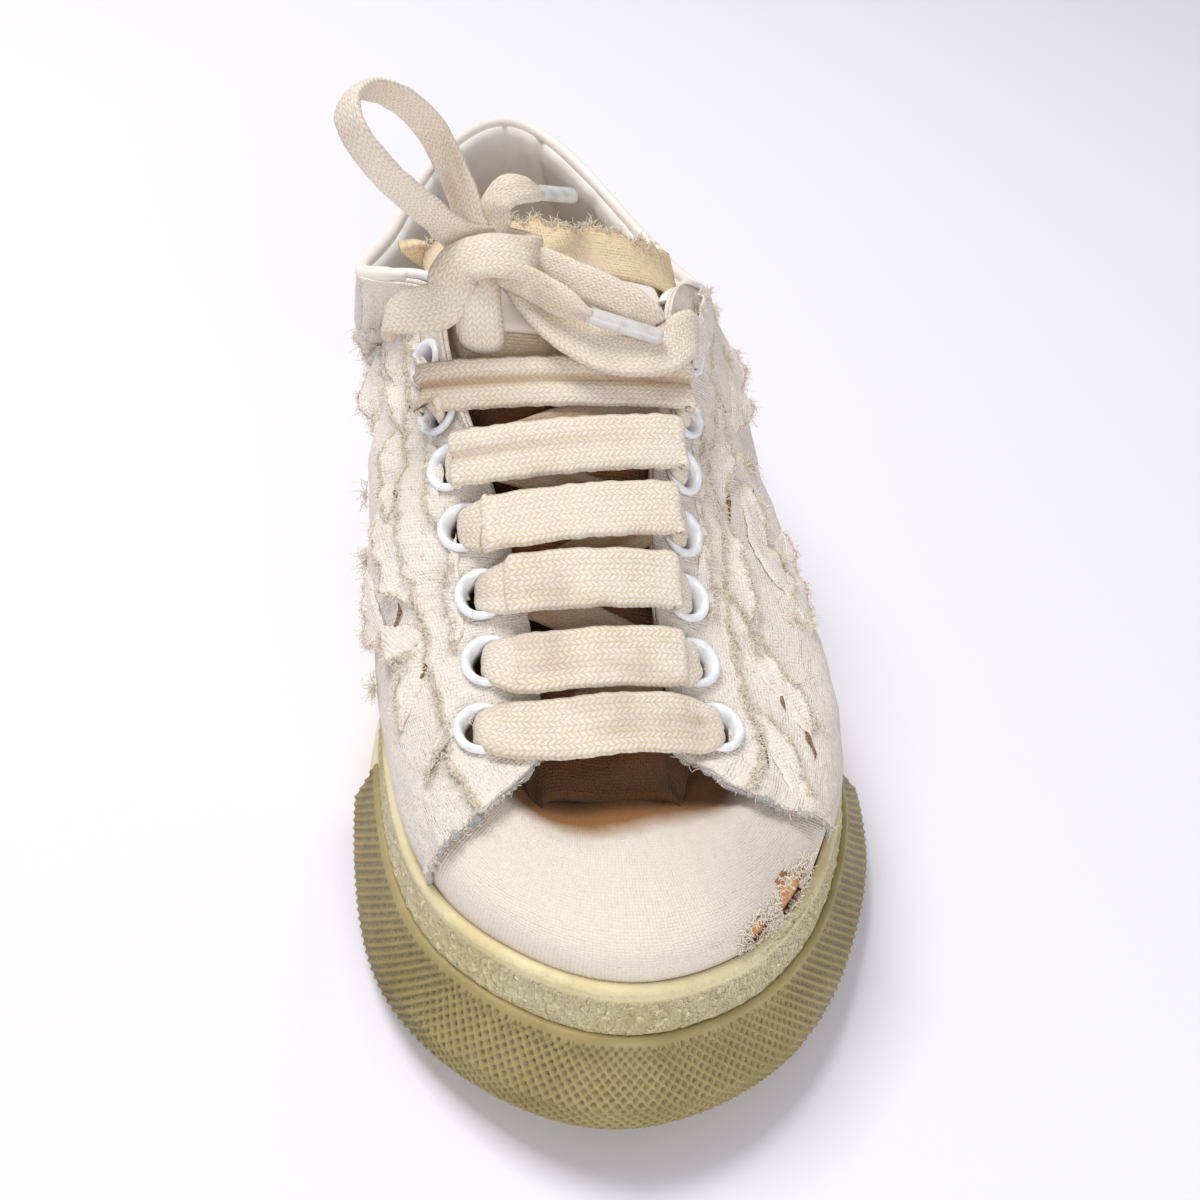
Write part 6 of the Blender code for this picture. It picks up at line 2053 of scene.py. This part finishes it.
    def under_runs(self) -> list[bpy.types.Object]:
        """Make the runs that climb beneath the rows from eyelet to eyelet, darkened as painted shade."""
        made = []
        for number in range(1, 6):
            near, far = (Side.MEDIAL, Side.LATERAL) if number % 2 else (Side.LATERAL, Side.MEDIAL)
            low, high = self.eyelets.site(near, number), self.eyelets.site(far, number + 1)
            edge_low = crossing(near, low.centre[1], self.run_height)
            edge_high = crossing(far, high.centre[1], self.run_height)
            middle = (edge_low + edge_high) / 2 + THROAT_NORMAL * 1.5
            path = np.array([edge_low - THROAT_NORMAL * 0.6,
                             (edge_low + middle) / 2 + THROAT_NORMAL * 0.7, middle,
                             (edge_high + middle) / 2 + THROAT_NORMAL * 0.7, edge_high - THROAT_NORMAL * 0.6])
            across = np.cross(THROAT_NORMAL, edge_high - edge_low)
            # The runs lie beneath the rows, so they are darkened as painted shade.
            piece = self.ribbon(f"lace_run_{number}", path, across, 8.5, 1.6, 0.0, np.full(5, 0.55),
                                7.0 * number)
            made.append(WARDROBE.dress(piece, LACE_COTTON))
        return made

    def rows(self) -> list[bpy.types.Object]:
        """Make the lace between the holes."""
        made = [self.row(number) for number in range(1, 7)] + self.under_runs()
        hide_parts("lace_bars")
        return made


@dataclass
class Bow:
    """The lace's two free ends, tied in a bow on the tongue.

    Attributes:
        lace: The lace that it is tied in.
        medial: Route of the end from the inner top eyelet, with the lace's width direction.
        lateral: Route of the end from the outer top eyelet.
        fold: Route of the short fold that hangs below the knot.
        tips: Ends of the plastic tips.
    """

    lace: Lace
    medial: tuple[tuple[float, ...], ...] = (
        # x     y      z       across
        (-45.8, -5.2,  86.0,   0.10, 0.80, 0.55),
        (-45.6, -6.2,  89.8,   0.10, 0.80, 0.55),
        (-43.4, -6.8,  91.8,   0.00, 0.80, 0.60),
        (-40.0, -7.0,  92.6,   0.00, 0.75, 0.65),
        (-36.4, -6.2,  93.4,   -0.40, 0.60, 0.65),
        (-34.2, -5.4,  96.0,   -0.80, 0.30, 0.30),
        (-33.8, -4.6,  98.8,   -0.85, 0.30, 0.20),
        (-32.2, -3.6,  101.2,  -0.50, 0.70, 0.50),
        (-28.0, -3.2,  102.8,  0.00, 0.80, 0.60),
        (-23.4, -3.2,  102.9,  0.00, 0.80, 0.60),
        (-19.2, -1.8,  101.6,  0.10, 0.80, 0.60),
        (-17.4, 1.8,   99.8,   0.20, 0.70, 0.70),
        (-20.0, 5.0,   99.2,   0.20, 0.50, 0.80),
        (-25.4, 6.2,   99.6,   0.30, 0.20, 0.90),
        (-30.2, 5.2,   101.4,  0.60, -0.10, 0.80),
        (-34.8, 3.0,   105.2,  0.74, -0.31, 0.60),
        (-40.4, 0.4,   111.0,  0.74, -0.31, 0.60),
        (-47.0, -2.6,  118.0,  0.70, -0.40, 0.60),
        (-52.8, -2.6,  125.4,  0.60, -0.50, 0.62),
        (-54.2, 1.6,   129.2,  0.55, -0.50, 0.67),
        (-50.8, 8.0,   129.8,  0.60, -0.40, 0.70),
        (-44.6, 12.6,  126.6,  0.74, -0.31, 0.60),
        (-38.8, 13.8,  121.4,  0.74, -0.31, 0.60),
        (-34.8, 12.4,  115.2,  0.74, -0.31, 0.60),
        (-31.6, 9.8,   108.8,  0.76, -0.31, 0.58),
        (-29.6, 7.6,   103.4,  0.80, -0.30, 0.50),
        (-27.2, 7.2,   101.6,  0.85, -0.30, 0.40),
        (-25.2, 8.2,   104.2,  0.88, -0.30, 0.35),
        (-25.0, 9.0,   107.6,  0.80, -0.40, 0.40),
        (-22.8, 9.8,   110.2,  0.50, -0.65, -0.50),
        (-19.6, 10.6,  110.4,  0.30, -0.75, -0.60),
        (-17.0, 12.0,  109.0,  0.30, -0.75, -0.60),
        (-15.4, 13.6,  108.0,  0.30, -0.75, -0.60),
    )
    lateral: tuple[tuple[float, ...], ...] = (
        (15.9, -2.8,   85.6,   0.10, 0.85, 0.50),
        (14.8, -6.4,   89.4,   0.10, 0.85, 0.50),
        (11.6, -10.6,  90.2,   0.05, 0.85, 0.50),
        (6.6, -14.8,   89.2,   0.00, 0.85, 0.50),
        (0.0, -15.8,   88.8,   0.10, 0.83, 0.52),
        (-6.6, -13.8,  89.6,   0.30, 0.78, 0.50),
        (-13.4, -9.4,  92.0,   0.40, 0.70, 0.55),
        (-18.8, -4.0,  95.2,   0.40, 0.60, 0.65),
        (-21.4, 0.4,   98.4,   0.30, 0.30, 0.85),
        (-18.0, 1.2,   99.6,   0.25, 0.40, 0.85),
        (-13.2, -0.6,  98.8,   0.25, 0.45, 0.80),
        (-9.0, -2.8,   98.0,   0.25, 0.45, 0.80),
        (-4.0, -5.2,   97.0,   0.25, 0.45, 0.80),
        (1.4, -7.8,    95.4,   0.25, 0.40, 0.80),
        (5.0, -9.4,    92.8,   0.30, 0.30, 0.85),
        (3.4, -9.2,    90.4,   0.25, 0.45, 0.80),
        (-1.6, -8.6,   89.8,   0.20, 0.50, 0.80),
        (-7.0, -6.8,   90.6,   0.20, 0.50, 0.80),
        (-12.4, -3.4,  92.8,   0.20, 0.50, 0.80),
        (-18.6, -0.6,  95.8,   0.20, 0.40, 0.85),
        (-24.0, 0.8,   98.0,   0.20, 0.30, 0.90),
        (-25.4, -0.6,  99.2,   0.30, 0.30, 0.88),
        (-22.0, -3.8,  99.0,   0.35, 0.25, 0.88),
        (-17.6, -6.8,  98.2,   0.30, 0.20, 0.92),
        (-12.4, -10.2, 96.8,   0.35, 0.25, 0.90),
        (-7.4, -12.6,  95.6,   0.40, 0.35, 0.85),
    )
    fold: tuple[tuple[float, ...], ...] = (
        (-29.6, -2.4,  97.6,   -0.95, 0.20, -0.10),
        (-29.0, -5.4,  95.0,   -0.95, 0.20, -0.10),
        (-28.6, -7.6,  91.6,   -0.95, 0.25, -0.10),
        (-28.0, -8.2,  87.6,   -0.93, 0.30, -0.10),
        (-27.6, -6.0,  84.4,   -0.90, 0.30, -0.10),
    )
    tips: tuple[tuple[str, tuple[float, float, float], tuple[float, float, float]], ...] = (
        ("front", (-8.4, -12.3, 95.8), (6.8, -14.2, 92.2)),
        ("back", (-16.6, 12.4, 108.9), (-7.6, 20.8, 104.6)),
    )

    def strand(self, side: Side) -> bpy.types.Object:
        """Args:
            side: Side of the eyelet that it comes from.

        Returns:
            The strand.
        """
        route = np.array(self.medial if side is Side.MEDIAL else self.lateral)
        packed = open_spline(route, 8 * len(route))
        steps = walk(packed[:, :3])
        left = steps[-1] - steps
        narrow = 1 - 0.5 * np.exp(-(steps / 4.0) ** 2) - 0.62 * np.exp(-(left / 4.0) ** 2)
        if side is Side.LATERAL:
            narrow = narrow * (1 - 0.3 * smooth(26.0, 60.0, steps))
        else:
            narrow = narrow * (1 - 0.24 * smooth(54.0, 66.0, steps))
        width = self.lace.width * (0.96 + 0.05 * Grain(65).at(steps / 18, 0 * steps)) * narrow
        thickness = self.lace.thickness * (1 + 0.3 * np.exp(-(steps / 4.0) ** 2) + 0.5 * (1 - narrow))
        cup = 0.5 * Grain(66).at(steps / 20, 3 + 0 * steps)
        soil = np.full(len(steps), 0.06)
        piece = self.lace.ribbon(f"lace_end_{side.label}", packed[:, :3], packed[:, 3:6], width, thickness,
                                 cup, soil)
        WARDROBE.dress(piece, LACE_COTTON)
        return piece

    def tip(self, label: str, start: tuple[float, float, float],
            end: tuple[float, float, float]) -> bpy.types.Object:
        """Make the clear sleeve on one end of the lace.

        Args:
            label: Which of the ends it is on.
            start: Where the sleeve starts, on the lace.
            end: Where it ends.

        Returns:
            The sleeve.
        """
        share = np.linspace(0.0, 1.0, 40)[:, None]
        path = np.array(start) * (1 - share) + np.array(end) * share
        radius = (1.75 * (1 - 0.12 * np.exp(-(share[:, 0] * 16 - 0.5) ** 2))
                  * (1 - 0.35 * smooth(0.95, 1.0, share[:, 0])))
        piece = tube(f"lace_tip_{label}", path, radius, 20, 0.8, THROAT_NORMAL)
        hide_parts(f"aglet_{label}")
        return WARDROBE.dress(piece, TIP)

    def build(self) -> list[bpy.types.Object]:
        """Make the bow's two ends, their tips and the fold below the knot."""
        medial, lateral = self.strand(Side.MEDIAL), self.strand(Side.LATERAL)
        front, back = [self.tip(*tip) for tip in self.tips]
        route = np.array(self.fold)
        fold = self.lace.ribbon("lace_knot_fold", route[:, :3], route[:, 3:6], 9.0, 3.0, 1.0)
        WARDROBE.dress(fold, LACE_COTTON)
        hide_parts("lace_loop_big", "lace_end_back", "lace_knot")
        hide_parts("lace_loop_small", "lace_end_front", "lace_knot")
        return [medial, lateral, front, back, fold]


# Studio ------------------------------------------------------------------------------------------

@dataclass
class Studio:
    """Pale floor, soft lamps and camera.

    Attributes:
        eye: Place of the camera in table millimetres.
        heading: Direction in which it looks.
        roll: Roll in degrees.
        nudge: Share of the frame by which it turns right and down.
        lens: Focal length on a 36 mm frame.
        aim: Point that the lamps face, in metres.
        lamps: Name, place in metres, width in metres, power in watts and colour of each lamp.
        sky: Strength of the light from all round.
    """

    eye: tuple[float, float, float] = (-59.0, -267.0, 240.0)
    heading: tuple[float, float, float] = (0.18923, 0.74080, -0.64452)
    roll: float = -9.035
    nudge: tuple[float, float] = (-0.0079, -0.0104)
    lens: float = 45.2
    aim: tuple[float, float, float] = (0.0, -0.02, 0.04)
    lamps: tuple[tuple[str, tuple[float, float, float], float, float, tuple[float, float, float]], ...] = (
        ("key", (-0.36, 0.34, 1.08), 0.5, 10.3, (1.0, 0.99, 0.975)),
        ("fill", (0.06, -1.0, 0.42), 0.6, 4.6, (1.0, 0.995, 0.985)),
    )
    sky: float = 0.43

    def camera(self) -> None:
        """Set up the camera."""
        forward = unit(np.array(self.heading))
        right = unit(np.cross(forward, (0.0, 0.0, 1.0)))
        down = np.cross(forward, right)
        angle = math.radians(self.roll)
        right, down = (math.cos(angle) * right + math.sin(angle) * down,
                       math.cos(angle) * down - math.sin(angle) * right)
        forward = unit(forward + right * self.nudge[0] + down * self.nudge[1])
        right = unit(right - forward * float(right @ forward))
        up = -np.cross(forward, right)
        data = bpy.data.cameras.new("camera")
        data.sensor_width = 36.0
        data.lens = self.lens
        data.clip_start = 0.01
        camera = bpy.data.objects.new("camera", data)
        turned = Matrix((right, up, -forward)).transposed().to_4x4()
        camera.matrix_world = Matrix.Translation(Vector(place(self.eye))) @ turned
        bpy.context.scene.collection.objects.link(camera)
        bpy.context.scene.camera = camera

    def floor(self) -> bpy.types.Object:
        """Make the floor."""
        work = bmesh.new()
        bmesh.ops.create_grid(work, x_segments=8, y_segments=8, size=3.0)
        mesh = bpy.data.meshes.new("studio_floor")
        work.to_mesh(mesh)
        work.free()
        floor = bpy.data.objects.new("studio_floor", mesh)
        bpy.context.scene.collection.objects.link(floor)
        material, tree, shader = start_material("matt_white_board")
        where = add(tree, "TexCoord", {}).outputs["Object"]
        cloud = add(tree, "TexNoise", {"Vector": where, "Scale": 2.0, "Detail": 2.0}).outputs["Fac"]
        colour = add(tree, "Mix", {0: cloud, 6: linear("#EBE9F2"), 7: linear("#EFEDF5")},
                     data_type="RGBA").outputs[2]
        feed(tree, shader, {"Base Color": colour, "Roughness": 0.8, "Specular IOR Level": 0.1})
        mesh.materials.append(material)
        return floor

    def lamp(self, name: str, spot: tuple[float, float, float], size: float, power: float,
             colour: tuple[float, float, float]) -> None:
        """Hang one soft square lamp that faces the shoe.

        Args:
            name: Name of the lamp.
            spot: Its place in metres.
            size: Its width in metres.
            power: Its power in watts.
            colour: Its linear colour.
        """
        data = bpy.data.lights.new(name, "AREA")
        data.shape = "SQUARE"
        data.size = size
        data.energy = power
        data.color = colour
        lamp = bpy.data.objects.new(name, data)
        lamp.location = spot
        lamp.rotation_euler = (Vector(self.aim) - Vector(spot)).to_track_quat("-Z", "Y").to_euler()
        bpy.context.scene.collection.objects.link(lamp)

    def light(self) -> None:
        """Hang the lamps and set the world."""
        for lamp in self.lamps:
            self.lamp(*lamp)
        world = bpy.data.worlds.new("studio")
        world.use_nodes = True
        shade = world.node_tree.nodes["Background"]
        shade.inputs["Color"].default_value = linear("#F4F5FA")
        shade.inputs["Strength"].default_value = self.sky
        bpy.context.scene.world = world
        bpy.context.scene.view_settings.view_transform = "Standard"

    def build(self) -> None:
        """Set up the floor and the lamps."""
        self.floor()
        self.light()


def main() -> None:
    """Load the frame and build every sub-assembly round it."""
    logging.basicConfig(level=logging.INFO, format="%(name)s: %(message)s")
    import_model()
    studio = Studio()
    studio.camera()
    eyelets = Eyelets()
    eyelets.find()
    lace = Lace(eyelets)
    Bow(lace).build()
    lace.rows()
    Sole().build()
    upper, tongue = Upper(eyelets), Tongue()
    upper.build()
    eyelets.rings()
    tongue.build()
    Rags(torn={**upper.torn, **tongue.torn}).build(upper)
    studio.build()
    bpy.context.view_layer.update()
    faces = sum(len(piece.data.polygons) for piece in bpy.context.scene.objects if piece.type == "MESH")
    LOG.info("all pieces made: %d faces", faces)


if __name__ == "__main__":
    main()
